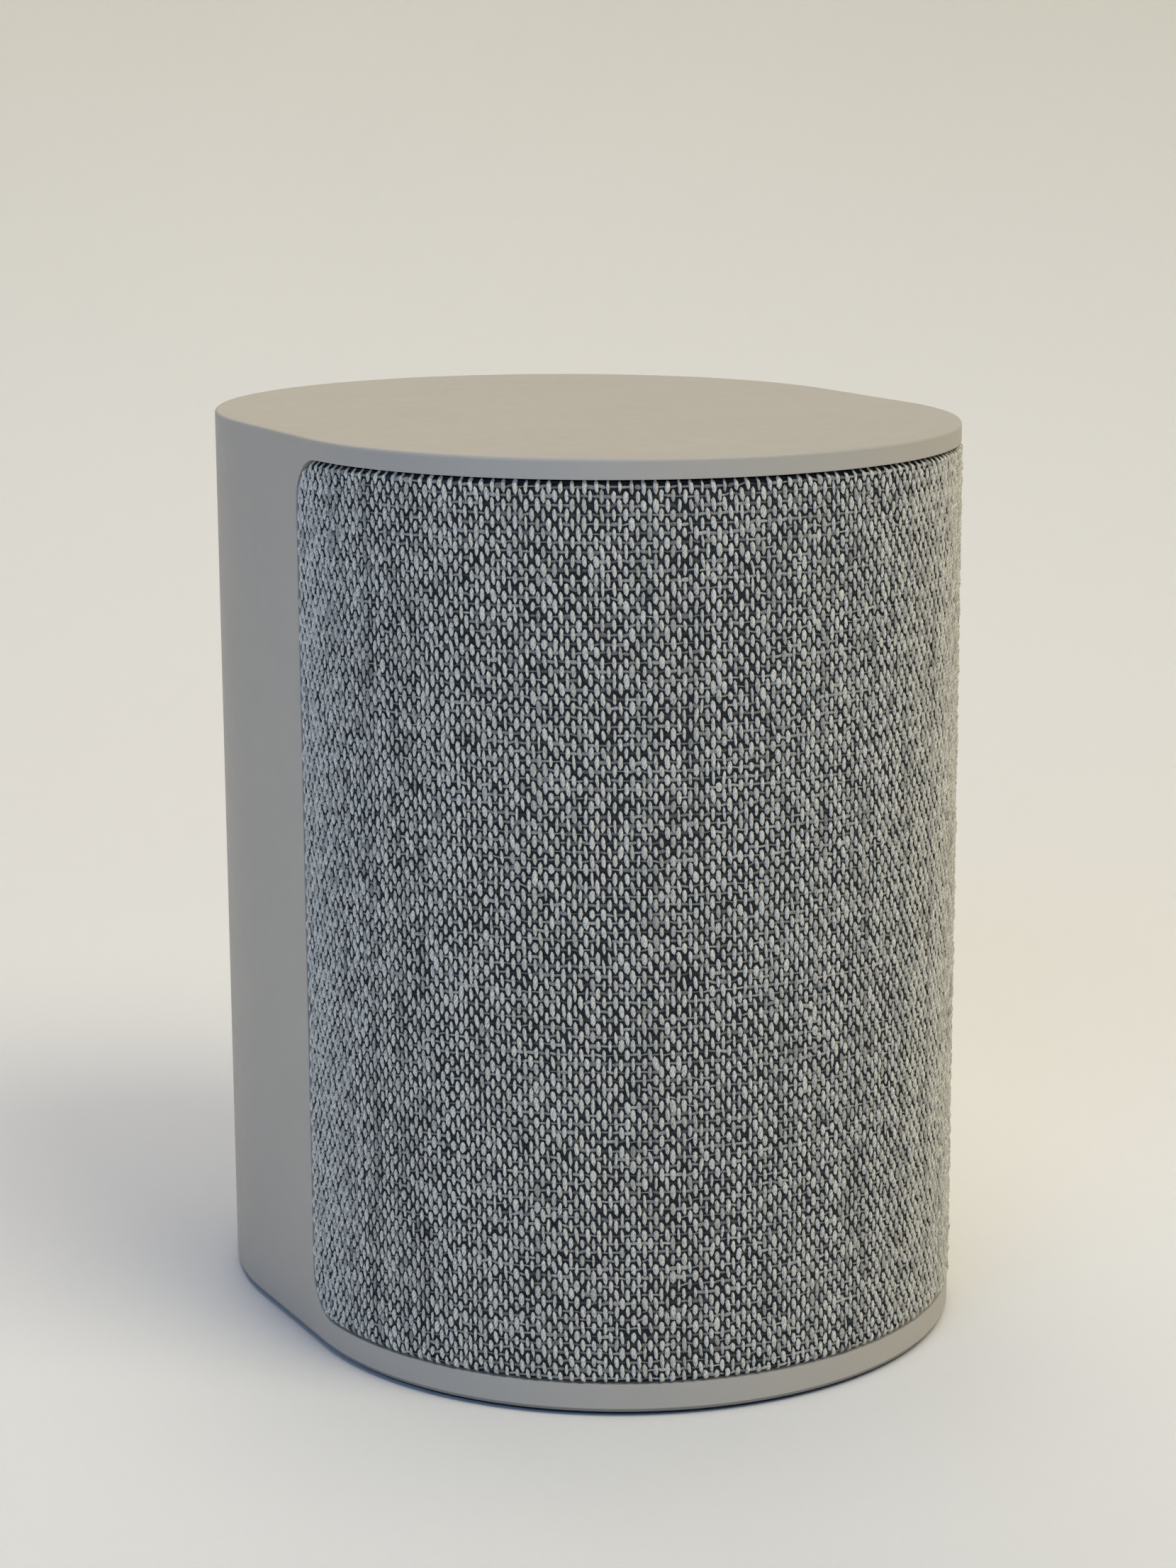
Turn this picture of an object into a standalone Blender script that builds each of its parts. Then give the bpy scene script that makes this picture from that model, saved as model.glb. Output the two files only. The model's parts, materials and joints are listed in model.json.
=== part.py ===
"""Compact smart speaker: painted housing, cloth front cover, two drivers, boards and rear panel.

Metres, +Z up. The front faces -Y, and the origin is on the ground under the middle of the speaker.
"""
import math

import bmesh
import bpy
from mathutils import Matrix, Vector

# ---- Overall size. The plan is a stadium: two half circles joined by straight flanks. ----
WIDTH = 0.112
DEPTH = 0.140
HEIGHT = 0.1515

# ---- Clearances ----
SEAT_GAP = 0.0003      # between pieces that rest on or in each other
SLIDE_GAP = 0.0004     # round a piece that slides in a hole
COVER_GAP = 0.0004     # shadow gap round the front cover
LAYOUT_GAP = 0.0020    # least space between neighbouring parts on a board

# ---- Housing ----
WALL = 0.0025
BROW = 0.0033          # thickness of the top plate, seen as the brow over the cloth
LOWER_BAND = 0.0040    # upright face of the band under the cloth
RIM_FILLET = 0.0006
BOTTOM_CHAMFER = 0.0008
GROUND_GAP = 0.0006    # height of the housing's lower edge over the ground
WINDOW_RETURN = 0.0040  # straight length of the front opening behind the front arc's centre
WINDOW_CORNER = 0.0075

# ---- Base and foot ----
FOOT_THICKNESS = 0.0016
FOOT_INSET = 0.0120
BASE_THICKNESS = 0.0025
BOSS_RADIUS = 0.0040
BOSS_HEIGHT = 0.0140
BASE_SCREW_X = 0.0300

# ---- Front cover ----
CLOTH_THICKNESS = 0.0008
FRAME_THICKNESS = 0.0020
FRAME_RIB = 0.0028
FRAME_COLUMNS = 10
FRAME_ROWS = 9
TAB_THICKNESS = 0.0010
TAB_DEPTH = 0.0060
TAB_HEIGHT = 0.0120
TAB_FIT = 0.0002           # from a tab to the enclosure behind it

# ---- Speaker enclosure ----
ENCLOSURE_WALL = 0.0025
ENCLOSURE_FIT = 0.0010     # from the enclosure to the cover frame
BAFFLE_DEPTH = 0.0375      # flat baffle behind the speaker's foremost point
CHAMBER_ROOM = 0.0060      # behind the woofer's yoke
CHAMBER_BACK = 0.0025
CORNER_BOSS = 0.0090
DAMPING_PAD = 0.0035

# ---- Woofer. Its flange is the largest that the baffle takes. ----
WOOFER_EDGE = 0.0024       # from the flange to the baffle's side edges
DRIVER_SPACING = 0.0030    # least space over, under and between the drivers
GASKET = 0.0008
FLANGE_THICKNESS = 0.0020
FLANGE_WIDTH = 0.0085
BASKET_WALL = 0.0012
BASKET_DEPTH = 0.0260
SEAT_PLATE = 0.0015
SEAT_RADIUS = 0.0235
COIL_RADIUS = 0.0100
COIL_WALL = 0.0005
POLE_CLEARANCE = 0.0006
CONE_WALL = 0.0008
CONE_DEPTH = 0.0165
ROLL_WIDTH = 0.0085
ROLL_WALL = 0.0006
SPIDER_DEPTH = 0.0205
TOP_PLATE = 0.0040
MAGNET_THICKNESS = 0.0120
MAGNET_RADIUS = 0.0270
YOKE_BASE = 0.0040

# ---- Tweeter ----
TWEETER_DIAMETER = 0.038
TWEETER_PLATE = 0.0025
DOME_RADIUS = 0.0095
DOME_HEIGHT = 0.0042
DOME_WALL = 0.0004
POT_WALL = 0.0018
POT_DEPTH = 0.0110

# ---- Rear panel ----
PANEL_WIDTH = 0.0300
PANEL_MARGIN = 0.0145      # from the panel's ends to the housing's top and bottom
PANEL_LIP = 0.0030         # the flange's overlap behind the wall
PANEL_FLANGE = 0.0020
BUTTON_DIAMETER = 0.0092
BUTTON_PROUD = 0.0010
BUTTON_TRAVEL = 0.0006
BUTTON_COLLAR = 0.0012
STEM_RADIUS = 0.0016
STEM_LENGTH = 0.0022
SWITCH_HEIGHT = 0.0030
SWITCH_SIZE = 0.0060
INLET_WIDTH = 0.0160
INLET_HEIGHT = 0.0090
INLET_WALL = 0.0018
INLET_CAVITY = 0.0100
INLET_DEPTH = 0.0170
PIN_RADIUS = 0.0012
PIN_SPACING = 0.0086
PIN_LENGTH = 0.0085
JACK_RADIUS = 0.0030
JACK_BORE = 0.0018
PORT_WIDTH = 0.0092
PORT_HEIGHT = 0.0034
PORT_WALL = 0.0004
LIGHT_RADIUS = 0.0012

# ---- Boards and what they carry ----
BOARD = 0.0016
STANDOFF = 0.0040
POST_RADIUS = 0.0030
STAKE_RADIUS = 0.0012
BOARD_MARGIN = 0.0075
MAIN_BOARD_WIDTH = 0.0640
POWER_BOARD_WIDTH = 0.0700
HEATSINK_FINS = 7
HEATSINK_SIZE = (0.030, 0.024, 0.0120)
TRANSFORMER_SIZE = (0.024, 0.026, 0.0170)
CAPACITOR_RADIUS = 0.0080
CAPACITOR_LENGTH = 0.0180
AERIAL_SIZE = (0.0080, 0.0340, 0.0010)
LEAD_RADIUS = 0.0010
LEAD_TAIL = 0.0030          # a lead's end behind the chamber's back plate

# ---- Smoothness ----
ARC_STEPS = 32
TURN_STEPS = 24
SMALL_STEPS = 14
DOME_STEPS = 20
SCREW_STEPS = 10
POST_STEPS = 12
CORNER_STEPS = 4

# ---- Places worked out from the sizes above ----
RADIUS = WIDTH / 2
ARC_Y = (DEPTH - WIDTH) / 2
INNER_RADIUS = RADIUS - WALL
WINDOW_LOW = GROUND_GAP + BOTTOM_CHAMFER + LOWER_BAND
WINDOW_HIGH = HEIGHT - BROW
WINDOW_BACK = WINDOW_RETURN - ARC_Y
FRAME_RADIUS = RADIUS - CLOTH_THICKNESS - SEAT_GAP
TAB_OUTER = INNER_RADIUS - SLIDE_GAP
TAB_INNER = TAB_OUTER - TAB_THICKNESS
ENCLOSURE_RADIUS = min(FRAME_RADIUS - FRAME_THICKNESS - ENCLOSURE_FIT, TAB_INNER - TAB_FIT)
BASE_LOW = FOOT_THICKNESS + SEAT_GAP
BASE_HIGH = BASE_LOW + BASE_THICKNESS
ENCLOSURE_LOW = BASE_HIGH + SEAT_GAP
ENCLOSURE_HIGH = WINDOW_HIGH - SEAT_GAP
BAFFLE_Y = BAFFLE_DEPTH - DEPTH / 2
BAFFLE_OFFSET = -ARC_Y - BAFFLE_Y

BAFFLE_HALF = math.sqrt(ENCLOSURE_RADIUS**2 - BAFFLE_OFFSET**2)
BAFFLE_HEIGHT = ENCLOSURE_HIGH - ENCLOSURE_LOW
TWEETER_RADIUS = TWEETER_DIAMETER / 2
WIDTH_ROOM = BAFFLE_HALF - WOOFER_EDGE
HEIGHT_ROOM = (BAFFLE_HEIGHT - TWEETER_DIAMETER - 3 * DRIVER_SPACING) / 2
WOOFER_RADIUS = min(WIDTH_ROOM, HEIGHT_ROOM)
DRIVER_GAP = (BAFFLE_HEIGHT - 2 * WOOFER_RADIUS - TWEETER_DIAMETER) / 3
WOOFER_Z = ENCLOSURE_LOW + DRIVER_GAP + WOOFER_RADIUS
TWEETER_Z = ENCLOSURE_HIGH - DRIVER_GAP - TWEETER_RADIUS

# Woofer levels, measured forward from the baffle.
FLANGE_LOW = 2 * SEAT_GAP + GASKET
FLANGE_HIGH = FLANGE_LOW + FLANGE_THICKNESS
SEAT_HIGH = FLANGE_LOW - BASKET_DEPTH
SEAT_LOW = SEAT_HIGH - SEAT_PLATE
TOP_PLATE_HIGH = SEAT_LOW - SEAT_GAP
TOP_PLATE_LOW = TOP_PLATE_HIGH - TOP_PLATE
MAGNET_HIGH = TOP_PLATE_LOW - SEAT_GAP
MAGNET_LOW = MAGNET_HIGH - MAGNET_THICKNESS
YOKE_HIGH = MAGNET_LOW - SEAT_GAP
YOKE_LOW = YOKE_HIGH - YOKE_BASE
CONE_HIGH = FLANGE_HIGH - SEAT_GAP
CONE_LOW = CONE_HIGH - CONE_DEPTH
BASKET_RADIUS = WOOFER_RADIUS - FLANGE_WIDTH
ROLL_OUTER = BASKET_RADIUS - BASKET_WALL - SEAT_GAP
ROLL_INNER = ROLL_OUTER - ROLL_WIDTH
CONE_NECK = COIL_RADIUS + COIL_WALL + SEAT_GAP

CHAMBER_Y = BAFFLE_Y - YOKE_LOW + CHAMBER_ROOM
CHAMBER_REAR = CHAMBER_Y + SEAT_GAP + CHAMBER_BACK
CHAMBER_ARC = INNER_RADIUS - SLIDE_GAP   # the enclosure's reach where the back is round
CHAMBER_RISE = max(CHAMBER_REAR - ARC_Y, 0)
CHAMBER_HALF = min(ENCLOSURE_RADIUS, math.sqrt(CHAMBER_ARC**2 - CHAMBER_RISE**2))
BOARD_Y = CHAMBER_REAR + STANDOFF + SEAT_GAP
BOARD_REAR = BOARD_Y + BOARD

# The panel's plug fills the wall at the window's edges, and its flange lies against the wall inside.
PANEL_HALF = PANEL_WIDTH / 2
PLUG_REAR = ARC_Y + math.sqrt(RADIUS**2 - PANEL_HALF**2) - SEAT_GAP
FLANGE_REAR = ARC_Y + math.sqrt(INNER_RADIUS**2 - (PANEL_HALF + PANEL_LIP) ** 2) - SEAT_GAP
PANEL_FRONT = FLANGE_REAR - PANEL_FLANGE
PANEL_THICKNESS = PLUG_REAR - PANEL_FRONT
PANEL_LENGTH = HEIGHT - GROUND_GAP - 2 * PANEL_MARGIN
PANEL_LOW = GROUND_GAP + PANEL_MARGIN

COLLAR_HIGH = -PANEL_THICKNESS - SEAT_GAP
COLLAR_LOW = COLLAR_HIGH - BUTTON_COLLAR
STEM_LOW = COLLAR_LOW - STEM_LENGTH
SWITCH_TOP = STEM_LOW - BUTTON_TRAVEL - SEAT_GAP
PANEL_BOARD_HIGH = SWITCH_TOP - SWITCH_HEIGHT

# Local frames: +Z forward along -Y, +Z rearward along +Y, and +Z along +X with local X along +Y.
FORWARD = Matrix.Rotation(math.pi / 2, 4, "X")
REARWARD = Matrix.Rotation(math.pi, 4, "Z") @ Matrix.Rotation(math.pi / 2, 4, "X")
SIDEWAYS = Matrix.Rotation(math.pi / 2, 4, "Z") @ Matrix.Rotation(math.pi / 2, 4, "X")

# Colour, roughness and metallic value of each finish.
FINISHES = {
    "painted_housing": ((0.345, 0.330, 0.295), 0.55, 0.0),
    "cloth": ((0.150, 0.150, 0.150), 0.90, 0.0),
    "black_plastic": ((0.020, 0.020, 0.021), 0.50, 0.0),
    "rubber": ((0.012, 0.012, 0.012), 0.85, 0.0),
    "paper_cone": ((0.030, 0.030, 0.032), 0.80, 0.0),
    "ferrite": ((0.055, 0.055, 0.058), 0.65, 0.0),
    "plated_steel": ((0.560, 0.550, 0.520), 0.35, 1.0),
    "dark_steel": ((0.100, 0.100, 0.105), 0.40, 1.0),
    "aluminium": ((0.700, 0.700, 0.710), 0.30, 1.0),
    "copper": ((0.720, 0.350, 0.180), 0.35, 1.0),
    "brass": ((0.700, 0.540, 0.250), 0.30, 1.0),
    "board": ((0.020, 0.110, 0.055), 0.45, 0.0),
    "spider_cloth": ((0.520, 0.330, 0.120), 0.85, 0.0),
    "silk": ((0.060, 0.060, 0.065), 0.60, 0.0),
    "foam": ((0.070, 0.070, 0.075), 0.95, 0.0),
    "clear_plastic": ((0.800, 0.820, 0.800), 0.20, 0.0),
}


# ---------------------------------------------------------------- scene
def clear_scene():
    for old in list(bpy.data.objects):
        bpy.data.objects.remove(old, do_unlink=True)
    for old in list(bpy.data.collections):
        bpy.data.collections.remove(old)


def new_collection(name):
    collection = bpy.data.collections.new(name)
    bpy.context.scene.collection.children.link(collection)
    return collection


def make_material(name):
    colour, roughness, metallic = FINISHES[name]
    made = bpy.data.materials.new(name)
    made.use_nodes = True
    shader = made.node_tree.nodes["Principled BSDF"]
    shader.inputs["Base Color"].default_value = (*colour, 1.0)
    shader.inputs["Roughness"].default_value = roughness
    shader.inputs["Metallic"].default_value = metallic
    made.diffuse_color = (*colour, 1.0)
    return made


clear_scene()
PARTS = new_collection("smart_speaker")
CUTTERS = new_collection("cutters")
MATERIALS = {name: make_material(name) for name in FINISHES}


def add_axis(name, place):
    """An empty that carries the pieces of one group on their common axis."""
    empty = bpy.data.objects.new(name, None)
    empty.empty_display_size = 0.01
    empty.matrix_world = place
    PARTS.objects.link(empty)
    return empty


def add_piece(name, mesh, finish, place=Matrix(), parent=None):
    piece = bpy.data.objects.new(name, mesh)
    mesh.materials.append(MATERIALS[finish])
    PARTS.objects.link(piece)
    piece.parent = parent
    piece.matrix_local = place
    return piece


def add_cutter(name, mesh, place=Matrix(), parent=None):
    cutter = bpy.data.objects.new(name, mesh)
    cutter.hide_render = True
    cutter.display_type = "WIRE"
    CUTTERS.objects.link(cutter)
    cutter.parent = parent
    cutter.matrix_local = place
    return cutter


def combine(piece, cutter, operation="DIFFERENCE"):
    boolean = piece.modifiers.new(cutter.name, "BOOLEAN")
    boolean.operation = operation
    boolean.solver = "EXACT"
    boolean.object = cutter


def bevel(piece, width, segments=2):
    modifier = piece.modifiers.new("bevel", "BEVEL")
    modifier.width = width
    modifier.segments = segments
    modifier.limit_method = "ANGLE"
    modifier.angle_limit = math.radians(40)


def soften(mesh):
    mesh.shade_smooth()
    mesh.set_sharp_from_angle(angle=math.radians(35))
    return mesh


def at(x, y, z):
    return Matrix.Translation((x, y, z))


# ---------------------------------------------------------------- outlines
def arc(centre, radius, start, end, steps):
    """Points on an arc, angles in degrees."""
    points = []
    for step in range(steps + 1):
        angle = math.radians(start + (end - start) * step / steps)
        points.append((centre[0] + radius * math.cos(angle), centre[1] + radius * math.sin(angle)))
    return points


def stadium(inset):
    """The housing's plan, moved inward by inset."""
    rear = arc((0, ARC_Y), RADIUS - inset, 0, 180, ARC_STEPS)
    front = arc((0, -ARC_Y), RADIUS - inset, 180, 360, ARC_STEPS)
    return rear + front


def circle(radius, x=0.0, y=0.0, steps=SMALL_STEPS):
    return arc((x, y), radius, 0, 360 - 360 / steps, steps - 1)


def rounded_rectangle(width, height, corner, x=0.0, y=0.0):
    across = width / 2 - corner
    up = height / 2 - corner
    points = arc((x + across, y + up), corner, 0, 90, CORNER_STEPS)
    points += arc((x - across, y + up), corner, 90, 180, CORNER_STEPS)
    points += arc((x - across, y - up), corner, 180, 270, CORNER_STEPS)
    points += arc((x + across, y - up), corner, 270, 360, CORNER_STEPS)
    return points


def pill(width, height, x=0.0, y=0.0):
    """A slot with nearly half-round ends."""
    return rounded_rectangle(width, height, min(width, height) * 0.49, x, y)


def window_outline(inset):
    """Side view of the front opening in (y, z): open to the front, round corners at the back."""
    front = -ARC_Y - RADIUS - WALL
    back = WINDOW_BACK - inset
    low = WINDOW_LOW + inset
    high = WINDOW_HIGH - inset
    corner = WINDOW_CORNER - inset
    points = [(front, high), (front, low)]
    points += arc((back - corner, low + corner), corner, 270, 360, CORNER_STEPS)
    points += arc((back - corner, high - corner), corner, 0, 90, CORNER_STEPS)
    return points


def front_plan(outer, inner, back):
    """Plan of a curved shell round the front arc, with straight ends up to y = back."""
    points = [(outer, back)]
    points += arc((0, -ARC_Y), outer, 0, -180, ARC_STEPS)
    points += [(-outer, back), (-inner, back)]
    points += arc((0, -ARC_Y), inner, -180, 0, ARC_STEPS)
    points.append((inner, back))
    return points


def stack_centres(low, high, sizes):
    """Centres of items of the given sizes, spread with equal spaces between low and high."""
    space = (high - low - sum(sizes)) / (len(sizes) + 1)
    centres = []
    level = low
    for size in sizes:
        level += space
        centres.append(level + size / 2)
        level += size
    return centres


# ---------------------------------------------------------------- meshes
def mesh_of(bm, name):
    bmesh.ops.recalc_face_normals(bm, faces=bm.faces)
    mesh = bpy.data.meshes.new(name)
    bm.to_mesh(mesh)
    bm.free()
    return mesh


def plate_mesh(name, outlines, thickness):
    """A flat outline with its holes, from local z = 0 up to its thickness."""
    curve = bpy.data.curves.new(name, "CURVE")
    curve.dimensions = "2D"
    curve.fill_mode = "BOTH"
    curve.extrude = thickness / 2
    for outline in outlines:
        spline = curve.splines.new("POLY")
        spline.points.add(len(outline) - 1)
        for point, (x, y) in zip(spline.points, outline):
            point.co = (x, y, 0, 1)
        spline.use_cyclic_u = True
    guide = bpy.data.objects.new(name + "_outline", curve)
    bpy.context.scene.collection.objects.link(guide)
    depsgraph = bpy.context.evaluated_depsgraph_get()
    filled = bpy.data.meshes.new_from_object(guide.evaluated_get(depsgraph))
    bpy.data.objects.remove(guide, do_unlink=True)
    bm = bmesh.new()
    bm.from_mesh(filled)
    bmesh.ops.remove_doubles(bm, verts=bm.verts, dist=1e-6)
    bmesh.ops.translate(bm, verts=bm.verts, vec=(0, 0, thickness / 2))
    return mesh_of(bm, name)


def box_mesh(name, low, high):
    bm = bmesh.new()
    bmesh.ops.create_cube(bm, size=1.0)
    size = Vector(high) - Vector(low)
    middle = (Vector(high) + Vector(low)) / 2
    bmesh.ops.scale(bm, vec=size, verts=bm.verts)
    bmesh.ops.translate(bm, vec=middle, verts=bm.verts)
    return mesh_of(bm, name)


def boxes_mesh(name, corners):
    """Several boxes, each given by its low and high corner, for use as one cutter or addition."""
    bm = bmesh.new()
    for low, high in corners:
        made = bmesh.ops.create_cube(bm, size=1.0)["verts"]
        bmesh.ops.scale(bm, vec=Vector(high) - Vector(low), verts=made)
        bmesh.ops.translate(bm, vec=(Vector(high) + Vector(low)) / 2, verts=made)
    return mesh_of(bm, name)


def rods_mesh(name, centres, radius, low, high, steps=SCREW_STEPS):
    """Upright cylinders at the given (x, y) centres."""
    bm = bmesh.new()
    for x, y in centres:
        made = bmesh.ops.create_cone(bm, cap_ends=True, segments=steps, radius1=radius,
                                     radius2=radius, depth=high - low)["verts"]
        bmesh.ops.translate(bm, vec=(x, y, (low + high) / 2), verts=made)
    return mesh_of(bm, name)


def turned(name, profile, finish, parent=None, place=Matrix(), steps=TURN_STEPS):
    """A turned piece. The profile of (radius, level) runs down its outer side and back up inside."""
    bm = bmesh.new()
    points = [bm.verts.new((radius, 0, level)) for radius, level in profile]
    for first, second in zip(points, points[1:]):
        bm.edges.new((first, second))
    if profile[0][0] > 0:
        bm.edges.new((points[-1], points[0]))
    mesh = bpy.data.meshes.new(name)
    bm.to_mesh(mesh)
    bm.free()
    piece = add_piece(name, mesh, finish, place, parent)
    screw = piece.modifiers.new("turn", "SCREW")
    screw.axis = "Z"
    screw.angle = 2 * math.pi
    screw.steps = steps
    screw.render_steps = steps
    screw.use_merge_vertices = True
    screw.merge_threshold = 0.00001
    screw.use_smooth_shade = False
    return piece


def add_screw(name, place, parent, length, radius=0.0013, head=0.0026, head_height=0.0013):
    """A pan-head screw with a hexagon socket. The head sits on local z = 0, the shank runs down."""
    profile = [(0, head_height), (head * 0.8, head_height), (head, head_height * 0.6), (head, 0),
               (radius, 0), (radius, -length), (0, -length)]
    screw = turned(name, profile, "plated_steel", parent, place, SCREW_STEPS)
    socket = rods_mesh(name + "_socket", [(0, 0)], head * 0.42, head_height * 0.4, head_height * 2, 6)
    combine(screw, add_cutter(name + "_socket", socket, place, parent))
    return screw


# ---------------------------------------------------------------- housing, base and foot
REAR_BOSS_ANGLE = math.radians(52)
REAR_BOSS_REACH = INNER_RADIUS - BOSS_RADIUS * 0.75
REAR_BOSS_X = REAR_BOSS_REACH * math.cos(REAR_BOSS_ANGLE)
REAR_BOSS_Y = ARC_Y + REAR_BOSS_REACH * math.sin(REAR_BOSS_ANGLE)
FRONT_BOSS_Y = -ARC_Y + BOSS_RADIUS
BASE_SCREW_PLACES = [(-REAR_BOSS_X, REAR_BOSS_Y), (REAR_BOSS_X, REAR_BOSS_Y),
                     (-BASE_SCREW_X, FRONT_BOSS_Y), (BASE_SCREW_X, FRONT_BOSS_Y)]
SCREW_HOLE = 0.0016
SCREW_LENGTH = 0.0090


def make_housing():
    """The painted moulding: flanks, back, top plate with its brow, and the band under the cover."""
    mesh = plate_mesh("housing_shell", [stadium(0)], HEIGHT - GROUND_GAP)
    bm = bmesh.new()
    bm.from_mesh(mesh)
    weight = bm.edges.layers.float.new("bevel_weight_edge")
    widest = max(RIM_FILLET, BOTTOM_CHAMFER)
    for edge in bm.edges:
        if len(edge.link_faces) == 2 and edge.calc_face_angle() > math.radians(60):
            level = edge.verts[0].co.z
            flat = abs(level - edge.verts[1].co.z) < 1e-6
            if flat:
                width = BOTTOM_CHAMFER if level < HEIGHT / 2 else RIM_FILLET
                edge[weight] = width / widest
    bm.to_mesh(mesh)
    bm.free()
    housing = add_piece("housing_shell", mesh, "painted_housing", at(0, 0, GROUND_GAP))
    rim = housing.modifiers.new("rims", "BEVEL")
    rim.width = widest
    rim.segments = 2
    rim.limit_method = "WEIGHT"

    cavity = plate_mesh("housing_cavity", [stadium(WALL)], HEIGHT - BROW + WALL)
    combine(housing, add_cutter("housing_cavity", cavity, at(0, 0, -WALL)))
    span = WIDTH + 2 * WALL
    window = plate_mesh("front_window", [window_outline(0)], span)
    combine(housing, add_cutter("front_window", window, at(-span / 2, 0, 0) @ SIDEWAYS))
    slot = plate_mesh("panel_window", [rounded_rectangle(PANEL_WIDTH, PANEL_LENGTH, PANEL_HALF * 0.99)],
                      RADIUS)
    slot_place = at(0, ARC_Y + RADIUS / 2, PANEL_LOW + PANEL_LENGTH / 2) @ REARWARD
    combine(housing, add_cutter("panel_window", slot, slot_place))

    boss_low = BASE_HIGH + SEAT_GAP
    bosses = rods_mesh("housing_bosses", BASE_SCREW_PLACES[:2], BOSS_RADIUS, boss_low,
                       boss_low + BOSS_HEIGHT, SMALL_STEPS)
    combine(housing, add_cutter("housing_bosses", bosses), "UNION")
    bores = rods_mesh("housing_boss_bores", BASE_SCREW_PLACES[:2], SCREW_HOLE, BASE_LOW,
                      BASE_LOW + SCREW_LENGTH + SEAT_GAP)
    combine(housing, add_cutter("housing_boss_bores", bores))


def make_base():
    holes = [circle(SCREW_HOLE, x, y, SCREW_STEPS) for x, y in BASE_SCREW_PLACES]
    plate = plate_mesh("base_plate", [stadium(WALL + SLIDE_GAP)] + holes, BASE_THICKNESS)
    add_piece("base_plate", plate, "black_plastic", at(0, 0, BASE_LOW))

    access = [circle(SCREW_HOLE * 2, x, y, SMALL_STEPS) for x, y in BASE_SCREW_PLACES[2:]]
    pad = plate_mesh("foot_pad", [stadium(FOOT_INSET)] + access, FOOT_THICKNESS)
    add_piece("foot_pad", pad, "rubber")

    upside_down = Matrix.Rotation(math.pi, 4, "X")
    for number, (x, y) in enumerate(BASE_SCREW_PLACES, start=1):
        place = at(x, y, BASE_LOW - SEAT_GAP) @ upside_down
        add_screw(f"base_screw_{number}", place, None, SCREW_LENGTH)


# ---------------------------------------------------------------- front cover
def cover_point(radius, back, distance):
    """A point on the cover's plan, at a distance along it from its right-hand end."""
    straight = back + ARC_Y
    if distance < straight:
        return radius, back - distance
    if distance > straight + math.pi * radius:
        return -radius, back - (2 * straight + math.pi * radius - distance)
    angle = (distance - straight) / radius
    return radius * math.cos(angle), -ARC_Y - radius * math.sin(angle)


def lattice_line(index, count, length):
    """Place of a lattice line: ribs of FRAME_RIB with equal openings between them."""
    pitch = (length - FRAME_RIB) / count
    return index // 2 * pitch + (index % 2) * FRAME_RIB


def make_cover():
    axis = add_axis("front_cover_axis", at(0, -ARC_Y, (WINDOW_LOW + WINDOW_HIGH) / 2))
    to_axis = axis.matrix_world.inverted()
    back = WINDOW_BACK - COVER_GAP
    low = WINDOW_LOW + COVER_GAP
    high = WINDOW_HIGH - COVER_GAP
    span = WIDTH + 2 * WALL
    outline = plate_mesh("cover_outline", [window_outline(COVER_GAP)], span)
    trim = add_cutter("cover_outline", outline, to_axis @ at(-span / 2, 0, 0) @ SIDEWAYS, axis)

    cloth = plate_mesh("front_cover_cloth", [front_plan(RADIUS, RADIUS - CLOTH_THICKNESS, back)],
                       high - low)
    sheet = add_piece("front_cover_cloth", soften(cloth), "cloth", to_axis @ at(0, 0, low), axis)
    combine(sheet, trim, "INTERSECT")

    columns = 2 * FRAME_COLUMNS + 1
    rows = 2 * FRAME_ROWS + 1
    length = 2 * (back + ARC_Y) + math.pi * FRAME_RADIUS
    bm = bmesh.new()
    bmesh.ops.create_grid(bm, x_segments=columns, y_segments=rows, size=0.5)
    openings = []
    for face in bm.faces:
        middle = face.calc_center_median()
        column = int((middle.x + 0.5) * columns)
        row = int((middle.y + 0.5) * rows)
        if column % 2 and row % 2:
            openings.append(face)
    bmesh.ops.delete(bm, geom=openings, context="FACES")
    for vert in bm.verts:
        column = round((vert.co.x + 0.5) * columns)
        row = round((vert.co.y + 0.5) * rows)
        x, y = cover_point(FRAME_RADIUS, back, lattice_line(column, FRAME_COLUMNS, length))
        vert.co = (x, y, low + lattice_line(row, FRAME_ROWS, high - low))
    mesh = bpy.data.meshes.new("front_cover_frame")
    bm.to_mesh(mesh)
    bm.free()
    frame = add_piece("front_cover_frame", mesh, "black_plastic", to_axis, axis)
    shell = frame.modifiers.new("thickness", "SOLIDIFY")
    shell.thickness = FRAME_THICKNESS
    shell.offset = 1
    shell.use_even_offset = True
    combine(frame, trim, "INTERSECT")

    tab_root = FRAME_RADIUS - FRAME_THICKNESS / 2
    for name, outer, depth in (("tab_roots", tab_root, 0), ("cover_tabs", TAB_OUTER, TAB_DEPTH)):
        tabs = []
        for side in (-1, 1):
            for level in (low + (high - low) * 0.22, low + (high - low) * 0.78):
                across = sorted((side * outer, side * TAB_INNER))
                tabs.append(((across[0], back - TAB_DEPTH / 2, level - TAB_HEIGHT / 2),
                             (across[1], back + depth, level + TAB_HEIGHT / 2)))
        combine(frame, add_cutter(name, boxes_mesh(name, tabs), to_axis, axis), "UNION")


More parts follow.
